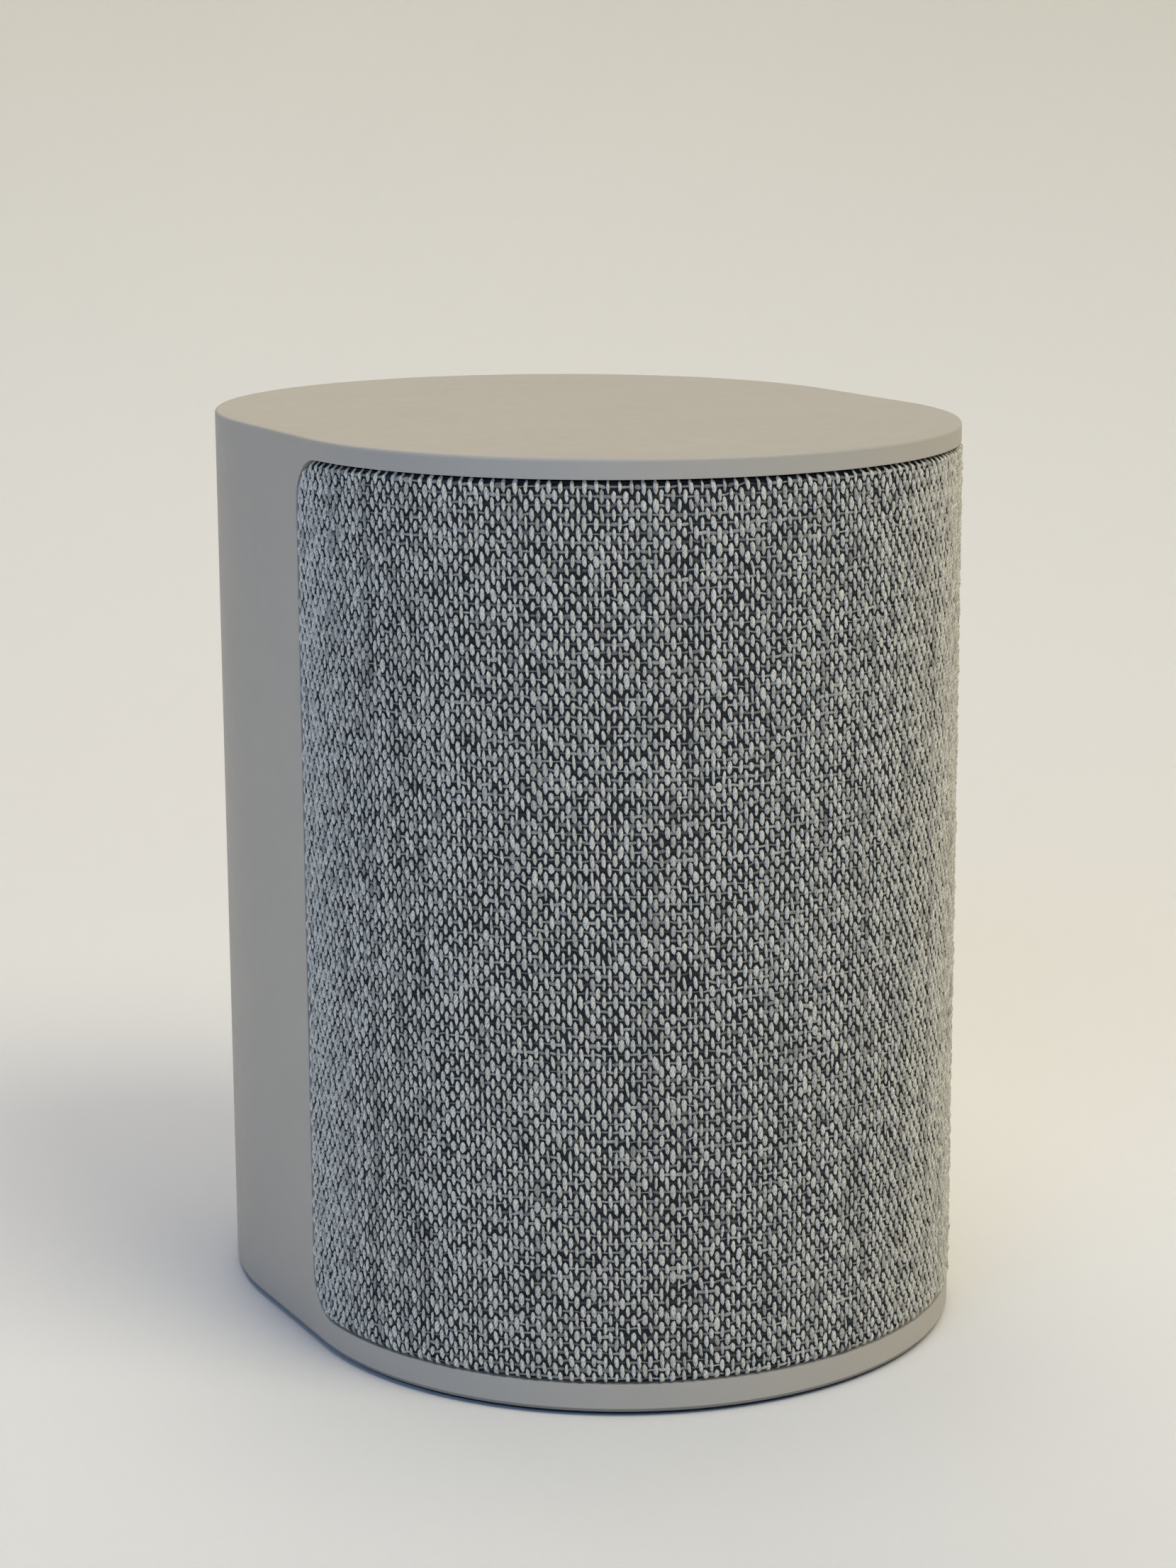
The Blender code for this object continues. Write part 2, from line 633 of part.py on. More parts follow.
# ---------------------------------------------------------------- speaker enclosure
def enclosure_plan(inset, rear):
    """A flat front, the front arc, straight sides, and the housing's rear arc where they meet it."""
    radius = ENCLOSURE_RADIUS - inset
    offset = BAFFLE_OFFSET - inset
    turn = math.degrees(math.asin(offset / radius))
    right = arc((0, -ARC_Y), radius, -turn, 0, ARC_STEPS // 4)
    left = arc((0, -ARC_Y), radius, 180, 180 + turn, ARC_STEPS // 4)
    reach = CHAMBER_ARC - inset
    start = math.degrees(math.acos(min(radius / reach, 1)))
    end = math.degrees(math.asin(max(rear - ARC_Y, 0) / reach))
    if end > start:
        back = arc((0, ARC_Y), reach, start, end, ARC_STEPS // 4)
    else:
        back = [(radius, rear)]
    return right + back + [(-x, y) for x, y in back[::-1]] + left


def make_enclosure(woofer_axis, tweeter_axis):
    height = ENCLOSURE_HIGH - ENCLOSURE_LOW
    body = plate_mesh("speaker_enclosure", [enclosure_plan(0, CHAMBER_Y)], height)
    box = add_piece("speaker_enclosure", body, "black_plastic", at(0, 0, ENCLOSURE_LOW))
    cavity = plate_mesh("enclosure_cavity", [enclosure_plan(ENCLOSURE_WALL, CHAMBER_Y + ENCLOSURE_WALL)],
                        height - 2 * ENCLOSURE_WALL)
    combine(box, add_cutter("enclosure_cavity", cavity, at(0, 0, ENCLOSURE_LOW + ENCLOSURE_WALL)))

    side = CHAMBER_HALF - CORNER_BOSS / 2
    corners = [(x, z) for x in (-side, side)
               for z in (ENCLOSURE_LOW + CORNER_BOSS / 2, ENCLOSURE_HIGH - CORNER_BOSS / 2)]
    half = CORNER_BOSS / 2
    front = CHAMBER_Y - SCREW_LENGTH - ENCLOSURE_WALL
    blocks = [((x - half, front, z - half), (x + half, CHAMBER_Y, z + half)) for x, z in corners]
    combine(box, add_cutter("enclosure_corners", boxes_mesh("enclosure_corners", blocks)), "UNION")
    floor_bosses = rods_mesh("enclosure_floor_bosses", BASE_SCREW_PLACES[2:], BOSS_RADIUS,
                             ENCLOSURE_LOW + ENCLOSURE_WALL / 2, ENCLOSURE_LOW + BOSS_HEIGHT, SMALL_STEPS)
    combine(box, add_cutter("enclosure_floor_bosses", floor_bosses), "UNION")
    bores = rods_mesh("enclosure_floor_bores", BASE_SCREW_PLACES[2:], SCREW_HOLE, BASE_LOW,
                      BASE_LOW + SCREW_LENGTH + SEAT_GAP)
    combine(box, add_cutter("enclosure_floor_bores", bores))

    hole = rods_mesh("woofer_hole", [(0, 0)], BASKET_RADIUS + SLIDE_GAP, -2 * ENCLOSURE_WALL,
                     ENCLOSURE_WALL, TURN_STEPS)
    combine(box, add_cutter("woofer_hole", hole, parent=woofer_axis))
    hole = rods_mesh("tweeter_hole", [(0, 0)], TWEETER_HOLE, -2 * ENCLOSURE_WALL,
                     ENCLOSURE_WALL, TURN_STEPS)
    combine(box, add_cutter("tweeter_hole", hole, parent=tweeter_axis))

    rear_face = at(0, CHAMBER_REAR, 0) @ REARWARD
    bores = rods_mesh("chamber_screw_bores", corners, SCREW_HOLE,
                      -SCREW_LENGTH - 2 * SEAT_GAP, ENCLOSURE_WALL)
    screw_bores = add_cutter("chamber_screw_bores", bores, rear_face)
    combine(box, screw_bores)
    for number, (x, z) in enumerate(corners, start=1):
        place = rear_face @ at(x, z, SEAT_GAP)
        add_screw(f"chamber_screw_{number}", place, None, SCREW_LENGTH)
    return box, screw_bores


def board_plan(low, high, width):
    """Outline, stake places and holes of a board on the chamber's back plate."""
    across = width / 2 - POST_RADIUS
    stakes = [(x, z) for x in (-across, across) for z in (low + POST_RADIUS, high - POST_RADIUS)]
    holes = [circle(STAKE_RADIUS + SLIDE_GAP, x, z, SCREW_STEPS) for x, z in stakes]
    outline = rounded_rectangle(width, high - low, 0.001, 0, (low + high) / 2)
    return [outline] + holes, stakes


def make_chamber_back(stakes, lead_places, screw_bores):
    """The enclosure's back plate, with the posts that the boards are staked on."""
    width = 2 * CHAMBER_HALF
    height = ENCLOSURE_HIGH - ENCLOSURE_LOW
    middle = (ENCLOSURE_LOW + ENCLOSURE_HIGH) / 2
    outline = rounded_rectangle(width, height, 0.002, 0, middle)
    plate = plate_mesh("chamber_back", [outline], CHAMBER_BACK)
    place = at(0, CHAMBER_Y + SEAT_GAP, 0) @ REARWARD
    back = add_piece("chamber_back", plate, "black_plastic", place)
    combine(back, screw_bores)
    ways = rods_mesh("lead_ways", lead_places, LEAD_RADIUS + SLIDE_GAP, -CHAMBER_BACK, 2 * CHAMBER_BACK)
    combine(back, add_cutter("lead_ways", ways, place))
    posts = rods_mesh("board_posts", stakes, POST_RADIUS, CHAMBER_BACK / 2, CHAMBER_BACK + STANDOFF,
                      POST_STEPS)
    combine(back, add_cutter("board_posts", posts, place), "UNION")
    pins = rods_mesh("board_stakes", stakes, STAKE_RADIUS, CHAMBER_BACK,
                     CHAMBER_BACK + STANDOFF + BOARD + 3 * SEAT_GAP, 8)
    combine(back, add_cutter("board_stakes", pins, place), "UNION")

    pad_width = 2 * (CHAMBER_HALF - ENCLOSURE_WALL - CORNER_BOSS)
    pad = plate_mesh("damping_pad", [rounded_rectangle(pad_width, height * 0.6, 0.008, 0, middle)],
                     DAMPING_PAD)
    add_piece("damping_pad", pad, "foam", at(0, CHAMBER_Y - DAMPING_PAD, 0) @ REARWARD)


# ---------------------------------------------------------------- woofer
def basket_inner(level):
    """Inner radius of the basket's cone at a level behind the baffle."""
    top = FLANGE_LOW - FLANGE_THICKNESS
    share = (top - level) / (top - SEAT_HIGH)
    wide = BASKET_RADIUS - BASKET_WALL
    narrow = SEAT_RADIUS - BASKET_WALL
    return wide + (narrow - wide) * share


def cone_level(radius):
    """Level of the cone's front surface at a radius."""
    share = (radius - CONE_NECK) / (ROLL_INNER - CONE_NECK)
    return CONE_LOW + CONE_DEPTH * share


def dome_profile(radius, level, height, wall, steps):
    """Profile of a thin dome open behind: the outer side from its top down, then the inner side up."""
    outer = []
    for step in range(steps + 1):
        angle = math.pi / 2 * step / steps
        outer.append((radius * math.sin(angle), level + height * math.cos(angle)))
    outer[0] = (0, level + height)
    inner = [(r * (1 - wall / radius), z - wall if r < radius * 0.99 else z) for r, z in reversed(outer)]
    return outer + inner


def make_woofer_motor(axis):
    gasket = plate_mesh("woofer_gasket", [circle(WOOFER_RADIUS, steps=TURN_STEPS),
                                          circle(BASKET_RADIUS + SLIDE_GAP, steps=TURN_STEPS)], GASKET)
    ring = add_piece("woofer_gasket", gasket, "foam", at(0, 0, SEAT_GAP), axis)

    neck = FLANGE_LOW - FLANGE_THICKNESS
    profile = [(WOOFER_RADIUS, FLANGE_HIGH), (WOOFER_RADIUS, FLANGE_LOW), (BASKET_RADIUS, FLANGE_LOW),
               (BASKET_RADIUS, neck), (SEAT_RADIUS, SEAT_HIGH), (SEAT_RADIUS, SEAT_LOW),
               (CONE_NECK + 2 * BASKET_WALL, SEAT_LOW), (CONE_NECK + 2 * BASKET_WALL, SEAT_HIGH),
               (SEAT_RADIUS - BASKET_WALL, SEAT_HIGH), (BASKET_RADIUS - BASKET_WALL, neck),
               (BASKET_RADIUS - BASKET_WALL, FLANGE_HIGH)]
    basket = turned("woofer_basket", profile, "dark_steel", axis)
    opening_high = neck - 2 * FLANGE_THICKNESS
    opening_low = -SPIDER_DEPTH + FLANGE_THICKNESS
    half = SEAT_RADIUS * 0.42
    reach = WOOFER_RADIUS
    windows = [((-reach, -half, opening_low), (reach, half, opening_high)),
               ((-half, -reach, opening_low), (half, reach, opening_high))]
    for number, (low, high) in enumerate(windows):
        name = f"basket_window_{number}"
        turned_by = Matrix.Rotation(math.pi / 4, 4, "Z")
        combine(basket, add_cutter(name, box_mesh(name, low, high), turned_by, axis))

    reach = (WOOFER_RADIUS - FLANGE_WIDTH * 0.4) * math.sqrt(0.5)
    places = [(x, y) for x in (-reach, reach) for y in (-reach, reach)]
    bores = rods_mesh("woofer_screw_bores", places, SCREW_HOLE, -SCREW_LENGTH, FLANGE_HIGH + WALL)
    cutter = add_cutter("woofer_screw_bores", bores, parent=axis)
    combine(basket, cutter)
    combine(ring, cutter)
    for number, (x, y) in enumerate(places, start=1):
        place = at(x, y, FLANGE_HIGH + SEAT_GAP)
        add_screw(f"woofer_screw_{number}", place, axis, SCREW_LENGTH * 0.7)

    bore = COIL_RADIUS + COIL_WALL + POLE_CLEARANCE
    plate = [(SEAT_RADIUS, TOP_PLATE_HIGH), (SEAT_RADIUS, TOP_PLATE_LOW), (bore, TOP_PLATE_LOW),
             (bore, TOP_PLATE_HIGH)]
    turned("woofer_top_plate", plate, "plated_steel", axis)
    magnet = [(MAGNET_RADIUS, MAGNET_HIGH), (MAGNET_RADIUS, MAGNET_LOW), (bore + WALL, MAGNET_LOW),
              (bore + WALL, MAGNET_HIGH)]
    turned("woofer_magnet", magnet, "ferrite", axis)
    pole = COIL_RADIUS - POLE_CLEARANCE
    yoke = [(0, TOP_PLATE_HIGH), (pole, TOP_PLATE_HIGH), (pole, YOKE_HIGH), (SEAT_RADIUS, YOKE_HIGH),
            (SEAT_RADIUS, YOKE_LOW), (0, YOKE_LOW)]
    turned("woofer_yoke", yoke, "plated_steel", axis)
    return cutter


def make_woofer_diaphragm(axis):
    cone = [(ROLL_INNER, CONE_HIGH), (ROLL_INNER, CONE_HIGH - CONE_WALL), (CONE_NECK, CONE_LOW - CONE_WALL),
            (CONE_NECK, CONE_LOW)]
    turned("woofer_cone", cone, "paper_cone", axis)

    cap_radius = COIL_RADIUS * 1.3
    cap = dome_profile(cap_radius, cone_level(cap_radius) + 2 * SEAT_GAP, COIL_RADIUS * 0.45, CONE_WALL, 5)
    turned("woofer_dust_cap", cap, "paper_cone", axis)

    coil_low = TOP_PLATE_LOW - SEAT_PLATE
    coil_high = CONE_LOW
    coil = [(COIL_RADIUS + COIL_WALL, coil_high), (COIL_RADIUS + COIL_WALL, coil_low),
            (COIL_RADIUS, coil_low), (COIL_RADIUS, coil_high)]
    turned("woofer_voice_coil", coil, "copper", axis)

    middle = (ROLL_OUTER + ROLL_INNER) / 2
    outer_roll = arc((middle, FLANGE_HIGH + SEAT_GAP), ROLL_WIDTH / 2 + ROLL_WALL / 2, 0, 180, 7)
    inner_roll = arc((middle, FLANGE_HIGH + SEAT_GAP), ROLL_WIDTH / 2 - ROLL_WALL / 2, 180, 0, 7)
    land = FLANGE_WIDTH * 0.3
    base = FLANGE_HIGH + SEAT_GAP
    outline = [(ROLL_OUTER + land, base + ROLL_WALL), (ROLL_OUTER + land, base)]
    outline += list(reversed(inner_roll))
    outline += [(ROLL_INNER - land, base), (ROLL_INNER - land, base + ROLL_WALL)]
    outline += [point for point in reversed(outer_roll) if point[1] > base + ROLL_WALL]
    turned("woofer_surround", outline, "rubber", axis)

    waves = 6
    inner = CONE_NECK
    outer = basket_inner(-SPIDER_DEPTH - CONE_WALL - COIL_WALL) - 2 * SEAT_GAP
    upper = []
    for step in range(waves + 1):
        radius = outer + (inner - outer) * step / waves
        wave = CONE_WALL if step % 2 else -CONE_WALL
        upper.append((radius, -SPIDER_DEPTH + wave))
    lower = [(radius, level - COIL_WALL) for radius, level in reversed(upper)]
    turned("woofer_spider", [upper[0]] + [lower[-1]] + list(reversed(lower))[1:] + list(reversed(upper))[:-1],
           "spider_cloth", axis)


# ---------------------------------------------------------------- tweeter
TWEETER_COIL = DOME_RADIUS - 2 * DOME_WALL
SUSPENSION_OUTER = DOME_RADIUS * 1.24
POT_RADIUS = SUSPENSION_OUTER + POT_WALL
TWEETER_HOLE = POT_RADIUS + SLIDE_GAP
TWEETER_SCREW_REACH = (TWEETER_HOLE + TWEETER_RADIUS) / 2


def make_tweeter(axis):
    low = SEAT_GAP
    high = low + TWEETER_PLATE
    plate = [(TWEETER_RADIUS, high - DOME_WALL), (TWEETER_RADIUS, low), (SUSPENSION_OUTER, low),
             (SUSPENSION_OUTER, low + DOME_WALL * 2), (SUSPENSION_OUTER + TWEETER_PLATE * 0.6, high),
             (TWEETER_RADIUS - DOME_WALL, high)]
    faceplate = turned("tweeter_faceplate", plate, "black_plastic", axis)
    places = [(-TWEETER_SCREW_REACH, 0), (TWEETER_SCREW_REACH, 0)]
    bores = rods_mesh("tweeter_screw_bores", places, SCREW_HOLE * 0.8, -SCREW_LENGTH, high + WALL)
    cutter = add_cutter("tweeter_screw_bores", bores, parent=axis)
    combine(faceplate, cutter)
    for number, (x, y) in enumerate(places, start=1):
        add_screw(f"tweeter_screw_{number}", at(x, y, high + SEAT_GAP), axis, SCREW_LENGTH * 0.6,
                  radius=0.0009, head=0.0018, head_height=0.0010)

    dome = dome_profile(DOME_RADIUS, low, DOME_HEIGHT, DOME_WALL, 6)
    turned("tweeter_dome", dome, "silk", axis, steps=DOME_STEPS)
    coil = [(TWEETER_COIL, 0), (TWEETER_COIL, -POT_DEPTH * 0.4),
            (TWEETER_COIL - DOME_WALL, -POT_DEPTH * 0.4), (TWEETER_COIL - DOME_WALL, 0)]
    turned("tweeter_voice_coil", coil, "copper", axis, steps=DOME_STEPS)

    inner = DOME_RADIUS + SEAT_GAP
    outer = SUSPENSION_OUTER - SEAT_GAP
    middle = (inner + outer) / 2
    roll = (outer - inner) / 2
    above = arc((middle, low), roll, 0, 180, 5)
    below = arc((middle, low), roll - DOME_WALL, 180, 0, 5)
    ring = [above[0]] + below[::-1] + above[:0:-1]
    turned("tweeter_suspension", ring, "silk", axis, steps=DOME_STEPS)

    top = -SEAT_GAP
    bottom = -POT_DEPTH
    floor = bottom + POT_WALL
    pot = [(0, floor), (POT_RADIUS - POT_WALL, floor), (POT_RADIUS - POT_WALL, top),
           (POT_RADIUS, top), (POT_RADIUS, bottom), (0, bottom)]
    turned("tweeter_pot", pot, "plated_steel", axis, steps=DOME_STEPS)
    slug = TWEETER_COIL - DOME_WALL - SLIDE_GAP
    magnet = [(0, top - DOME_WALL), (slug, top - DOME_WALL), (slug, floor + SEAT_GAP), (0, floor + SEAT_GAP)]
    turned("tweeter_magnet", magnet, "plated_steel", axis, steps=DOME_STEPS)
    return cutter


# ---------------------------------------------------------------- rear panel
PANEL_ITEMS = ["mains_inlet", "service_port", "aux_jack", "button_connect", "button_play_pause",
               "button_volume_down", "button_volume_up", "status_light"]
ITEM_SIZES = [INLET_HEIGHT + 2 * INLET_WALL, PORT_HEIGHT, 2 * JACK_RADIUS, BUTTON_DIAMETER,
              BUTTON_DIAMETER, BUTTON_DIAMETER, BUTTON_DIAMETER, 2 * LIGHT_RADIUS]
ITEM_LEVELS = dict(zip(PANEL_ITEMS, stack_centres(-PANEL_LENGTH / 2, PANEL_LENGTH / 2, ITEM_SIZES)))
BUTTONS = PANEL_ITEMS[3:7]
BUTTON_RADIUS = BUTTON_DIAMETER / 2


def make_panel(axis):
    """The panel's plug in the housing's slot, with a wider flange behind the wall."""
    inlet_outline = pill(INLET_WIDTH + 2 * (INLET_WALL + SLIDE_GAP),
                         INLET_HEIGHT + 2 * (INLET_WALL + SLIDE_GAP), 0, ITEM_LEVELS["mains_inlet"])
    holes = [inlet_outline,
             pill(PORT_WIDTH + 2 * SLIDE_GAP, PORT_HEIGHT + 2 * SLIDE_GAP, 0, ITEM_LEVELS["service_port"]),
             circle(JACK_RADIUS + SLIDE_GAP, 0, ITEM_LEVELS["aux_jack"]),
             circle(LIGHT_RADIUS + SLIDE_GAP, 0, ITEM_LEVELS["status_light"], SCREW_STEPS)]
    holes += [circle(BUTTON_RADIUS + SLIDE_GAP, 0, ITEM_LEVELS[name], 24) for name in BUTTONS]

    flange = rounded_rectangle(PANEL_WIDTH + 2 * PANEL_LIP, PANEL_LENGTH + 2 * PANEL_LIP,
                               (PANEL_HALF + PANEL_LIP) * 0.99)
    mesh = plate_mesh("rear_panel", [flange] + holes, PANEL_FLANGE)
    panel = add_piece("rear_panel", mesh, "black_plastic", at(0, 0, -PANEL_THICKNESS), axis)
    plug = rounded_rectangle(PANEL_WIDTH - 2 * SEAT_GAP, PANEL_LENGTH - 2 * SEAT_GAP,
                             (PANEL_HALF - SEAT_GAP) * 0.99)
    mesh = plate_mesh("panel_plug", [plug] + holes, PANEL_THICKNESS - PANEL_FLANGE / 2)
    combine(panel, add_cutter("panel_plug", mesh, at(0, 0, PANEL_FLANGE / 2 - PANEL_THICKNESS), axis),
            "UNION")


def make_buttons(axis):
    for name in BUTTONS:
        edge = BUTTON_RADIUS * 0.16
        cap = [(0, BUTTON_PROUD * 0.7), (BUTTON_RADIUS - 2 * edge, BUTTON_PROUD),
               (BUTTON_RADIUS - edge * 0.4, BUTTON_PROUD * 0.85), (BUTTON_RADIUS, BUTTON_PROUD * 0.3),
               (BUTTON_RADIUS, COLLAR_HIGH), (BUTTON_RADIUS + BUTTON_COLLAR, COLLAR_HIGH),
               (BUTTON_RADIUS + BUTTON_COLLAR, COLLAR_LOW), (STEM_RADIUS, COLLAR_LOW),
               (STEM_RADIUS, STEM_LOW), (0, STEM_LOW)]
        turned(name, cap, "black_plastic", axis, at(0, ITEM_LEVELS[name], 0), 24)


def make_connectors(axis):
    level = ITEM_LEVELS["mains_inlet"]
    outer = pill(INLET_WIDTH + 2 * INLET_WALL, INLET_HEIGHT + 2 * INLET_WALL)
    body = plate_mesh("mains_inlet", [outer], INLET_DEPTH)
    inlet = add_piece("mains_inlet", body, "black_plastic", at(0, level, -INLET_DEPTH), axis)
    cavity = plate_mesh("inlet_cavity", [pill(INLET_WIDTH, INLET_HEIGHT)], INLET_CAVITY + WALL)
    combine(inlet, add_cutter("inlet_cavity", cavity, at(0, level, -INLET_CAVITY), axis))
    pin_places = [(-PIN_SPACING / 2, level), (PIN_SPACING / 2, level)]
    bores = rods_mesh("pin_bores", pin_places, PIN_RADIUS + SEAT_GAP, -INLET_DEPTH - WALL, 0)
    combine(inlet, add_cutter("pin_bores", bores, parent=axis))
    for side, (x, y) in zip(("right", "left"), pin_places):
        tip = PIN_LENGTH - INLET_CAVITY
        pin = [(0, tip), (PIN_RADIUS * 0.6, tip), (PIN_RADIUS, tip - PIN_RADIUS * 0.6),
               (PIN_RADIUS, -INLET_DEPTH - WALL), (0, -INLET_DEPTH - WALL)]
        turned(f"mains_pin_{side}", pin, "brass", axis, at(x, y, 0), SCREW_STEPS)

    level = ITEM_LEVELS["aux_jack"]
    back = PANEL_BOARD_HIGH + SEAT_GAP
    shoulder = -PANEL_THICKNESS - SEAT_GAP
    half = JACK_RADIUS
    block = box_mesh("aux_jack", (-half, -half, back), (half, half, shoulder))
    jack = add_piece("aux_jack", block, "black_plastic", at(0, level, 0), axis)
    nozzle = rods_mesh("jack_nozzle", [(0, 0)], JACK_RADIUS * 0.98, shoulder - WALL, -SEAT_GAP, SMALL_STEPS)
    combine(jack, add_cutter("jack_nozzle", nozzle, at(0, level, 0), axis), "UNION")
    bore = rods_mesh("jack_bore", [(0, 0)], JACK_BORE, back + WALL / 2, WALL, SCREW_STEPS)
    combine(jack, add_cutter("jack_bore", bore, at(0, level, 0), axis))

    level = ITEM_LEVELS["service_port"]
    shell = plate_mesh("service_port", [pill(PORT_WIDTH, PORT_HEIGHT)], -SEAT_GAP - back)
    port = add_piece("service_port", shell, "plated_steel", at(0, level, back), axis)
    hollow = plate_mesh("port_hollow", [pill(PORT_WIDTH - 2 * PORT_WALL, PORT_HEIGHT - 2 * PORT_WALL)],
                        PANEL_THICKNESS + WALL)
    combine(port, add_cutter("port_hollow", hollow, at(0, level, -PANEL_THICKNESS), axis))

    level = ITEM_LEVELS["status_light"]
    pipe = [(0, LIGHT_RADIUS * 0.2), (LIGHT_RADIUS * 0.7, 0), (LIGHT_RADIUS, -LIGHT_RADIUS * 0.3),
            (LIGHT_RADIUS, COLLAR_HIGH), (2 * LIGHT_RADIUS, COLLAR_HIGH),
            (2 * LIGHT_RADIUS, back), (0, back)]
    turned("status_light", pipe, "clear_plastic", axis, at(0, level, 0), SMALL_STEPS)


def make_panel_board(axis):
    """The board behind the panel, with one switch under each button."""
    low = ITEM_LEVELS["service_port"] - PORT_HEIGHT / 2 - LAYOUT_GAP / 2
    high = PANEL_LENGTH / 2
    outline = rounded_rectangle(PANEL_WIDTH * 0.7, high - low, 0.001, 0, (low + high) / 2)
    mesh = plate_mesh("panel_board", [outline], BOARD)
    board = add_piece("panel_board", mesh, "board", at(0, 0, PANEL_BOARD_HIGH - BOARD), axis)
    half = SWITCH_SIZE / 2
    switches = []
    for name in BUTTONS:
        level = ITEM_LEVELS[name]
        switches.append(((-half, level - half, PANEL_BOARD_HIGH - BOARD / 2),
                         (half, level + half, SWITCH_TOP - SWITCH_HEIGHT * 0.2)))
    combine(board, add_cutter("switch_bodies", boxes_mesh("switch_bodies", switches), parent=axis), "UNION")
    places = [(0, ITEM_LEVELS[name]) for name in BUTTONS]
    plungers = rods_mesh("switch_plungers", places, STEM_RADIUS, SWITCH_TOP - SWITCH_HEIGHT * 0.5,
                         SWITCH_TOP)
    combine(board, add_cutter("switch_plungers", plungers, parent=axis), "UNION")


# ---------------------------------------------------------------- boards in the rear bay
def comb_outline(width, height, fins):
    """Side view of a finned heat sink: a base with upright fins."""
    base = height * 0.25
    pitch = width / (2 * fins - 1)
    points = [(width / 2, 0)]
    for fin in range(fins):
        right = width / 2 - 2 * fin * pitch
        points += [(right, base)] if fin else []
        points += [(right, height), (right - pitch, height)]
        points += [(right - pitch, base)] if fin < fins - 1 else []
    points.append((-width / 2, 0))
    return points


def make_main_board(low, high, outlines):
    place = at(0, BOARD_Y, 0) @ REARWARD
    add_piece("main_board", plate_mesh("main_board", outlines, BOARD), "board", place)
    width, height, depth = HEATSINK_SIZE
    comb = plate_mesh("amplifier_heatsink", [comb_outline(width, depth, HEATSINK_FINS)], height)
    middle = (low + high) / 2
    place = at(0, BOARD_REAR + SEAT_GAP, middle - height / 2)
    add_piece("amplifier_heatsink", comb, "aluminium", place)


def make_power_board(low, high, outlines):
    place = at(0, BOARD_Y, 0) @ REARWARD
    add_piece("power_board", plate_mesh("power_board", outlines, BOARD), "board", place)
    width, height, depth = TRANSFORMER_SIZE
    face = BOARD_REAR + SEAT_GAP
    top = high - BOARD_MARGIN
    left = LAYOUT_GAP / 2
    core = box_mesh("transformer", (left, face, top - height), (left + width, face + depth, top))
    transformer = add_piece("transformer", core, "ferrite")
    wrap = box_mesh("transformer_winding",
                    (left + width * 0.18, face + depth * 0.1, top - height * 1.08),
                    (left + width * 0.82, face + depth * 1.12, top + height * 0.08))
    combine(transformer, add_cutter("transformer_winding", wrap), "UNION")
    bevel(transformer, 0.0006, 1)

    can = CAPACITOR_RADIUS
    profile = [(0, CAPACITOR_LENGTH), (can * 0.9, CAPACITOR_LENGTH), (can, CAPACITOR_LENGTH * 0.96),
               (can, 0), (0, 0)]
    place = at(-left - can - LAYOUT_GAP, face, top - height / 2) @ REARWARD
    turned("bulk_capacitor", profile, "black_plastic", None, place, 24)


def make_aerials():
    width, height, thickness = AERIAL_SIZE
    high = ENCLOSURE_HIGH - CORNER_BOSS - LAYOUT_GAP
    face = CHAMBER_REAR + SEAT_GAP
    rise = max(face + thickness - ARC_Y, 0)
    centre = min(ENCLOSURE_RADIUS, math.sqrt(CHAMBER_ARC**2 - rise**2)) - width / 2 - LAYOUT_GAP
    for side, x in (("left", centre), ("right", -centre)):
        strip = box_mesh(f"aerial_{side}", (-width / 2, face, high - height),
                         (width / 2, face + thickness, high))
        add_piece(f"aerial_{side}", strip, "board", at(x, 0, 0))


def add_lead(name, points, finish):
    """A two-core lead through hand-placed points, smoothed by a Catmull-Rom curve."""
    route = []
    ends = [points[0]] + points + [points[-1]]
    for before, start, end, after in zip(ends, ends[1:], ends[2:], ends[3:]):
        for step in range(4):
            t = step / 4
            route.append(0.5 * (2 * start + (end - before) * t
                                + (2 * before - 5 * start + 4 * end - after) * t**2
                                + (3 * start - before - 3 * end + after) * t**3))
    route.append(points[-1])
    curve = bpy.data.curves.new(name, "CURVE")
    curve.dimensions = "3D"
    curve.bevel_depth = LEAD_RADIUS
    curve.bevel_resolution = 2
    curve.use_fill_caps = True
    spline = curve.splines.new("POLY")
    spline.points.add(len(route) - 1)
    for point, place in zip(spline.points, route):
        point.co = (*place, 1)
    lead = bpy.data.objects.new(name, curve)
    curve.materials.append(MATERIALS[finish])
    PARTS.objects.link(lead)
    return lead


def make_leads(woofer_exit, tweeter_exit):
    """From each driver's terminal out to the side, then straight back through the chamber's back."""
    end_y = CHAMBER_REAR + LEAD_TAIL
    x, z = woofer_exit
    start_y = BAFFLE_Y + BASKET_DEPTH / 2
    start_x = (BASKET_RADIUS + SEAT_RADIUS) / 2 + 2 * LEAD_RADIUS
    points = [(start_x, start_y, z), (start_x + 2 * LEAD_RADIUS, start_y + 2 * LEAD_RADIUS, z),
              (x - LEAD_RADIUS, start_y + 7 * LEAD_RADIUS, z), (x, start_y + 12 * LEAD_RADIUS, z),
              (x, CHAMBER_Y - 4 * LEAD_RADIUS, z), (x, end_y, z)]
    add_lead("woofer_lead", [Vector(point) for point in points], "rubber")

    x, z = tweeter_exit
    start_y = BAFFLE_Y + POT_DEPTH + 2 * LEAD_RADIUS
    points = [(0, start_y, TWEETER_Z), (0.2 * x, start_y + 4 * LEAD_RADIUS, TWEETER_Z),
              (0.6 * x, start_y + 8 * LEAD_RADIUS, (2 * TWEETER_Z + z) / 3),
              (x, start_y + 14 * LEAD_RADIUS, z), (x, CHAMBER_Y - 4 * LEAD_RADIUS, z), (x, end_y, z)]
    add_lead("tweeter_lead", [Vector(point) for point in points], "rubber")


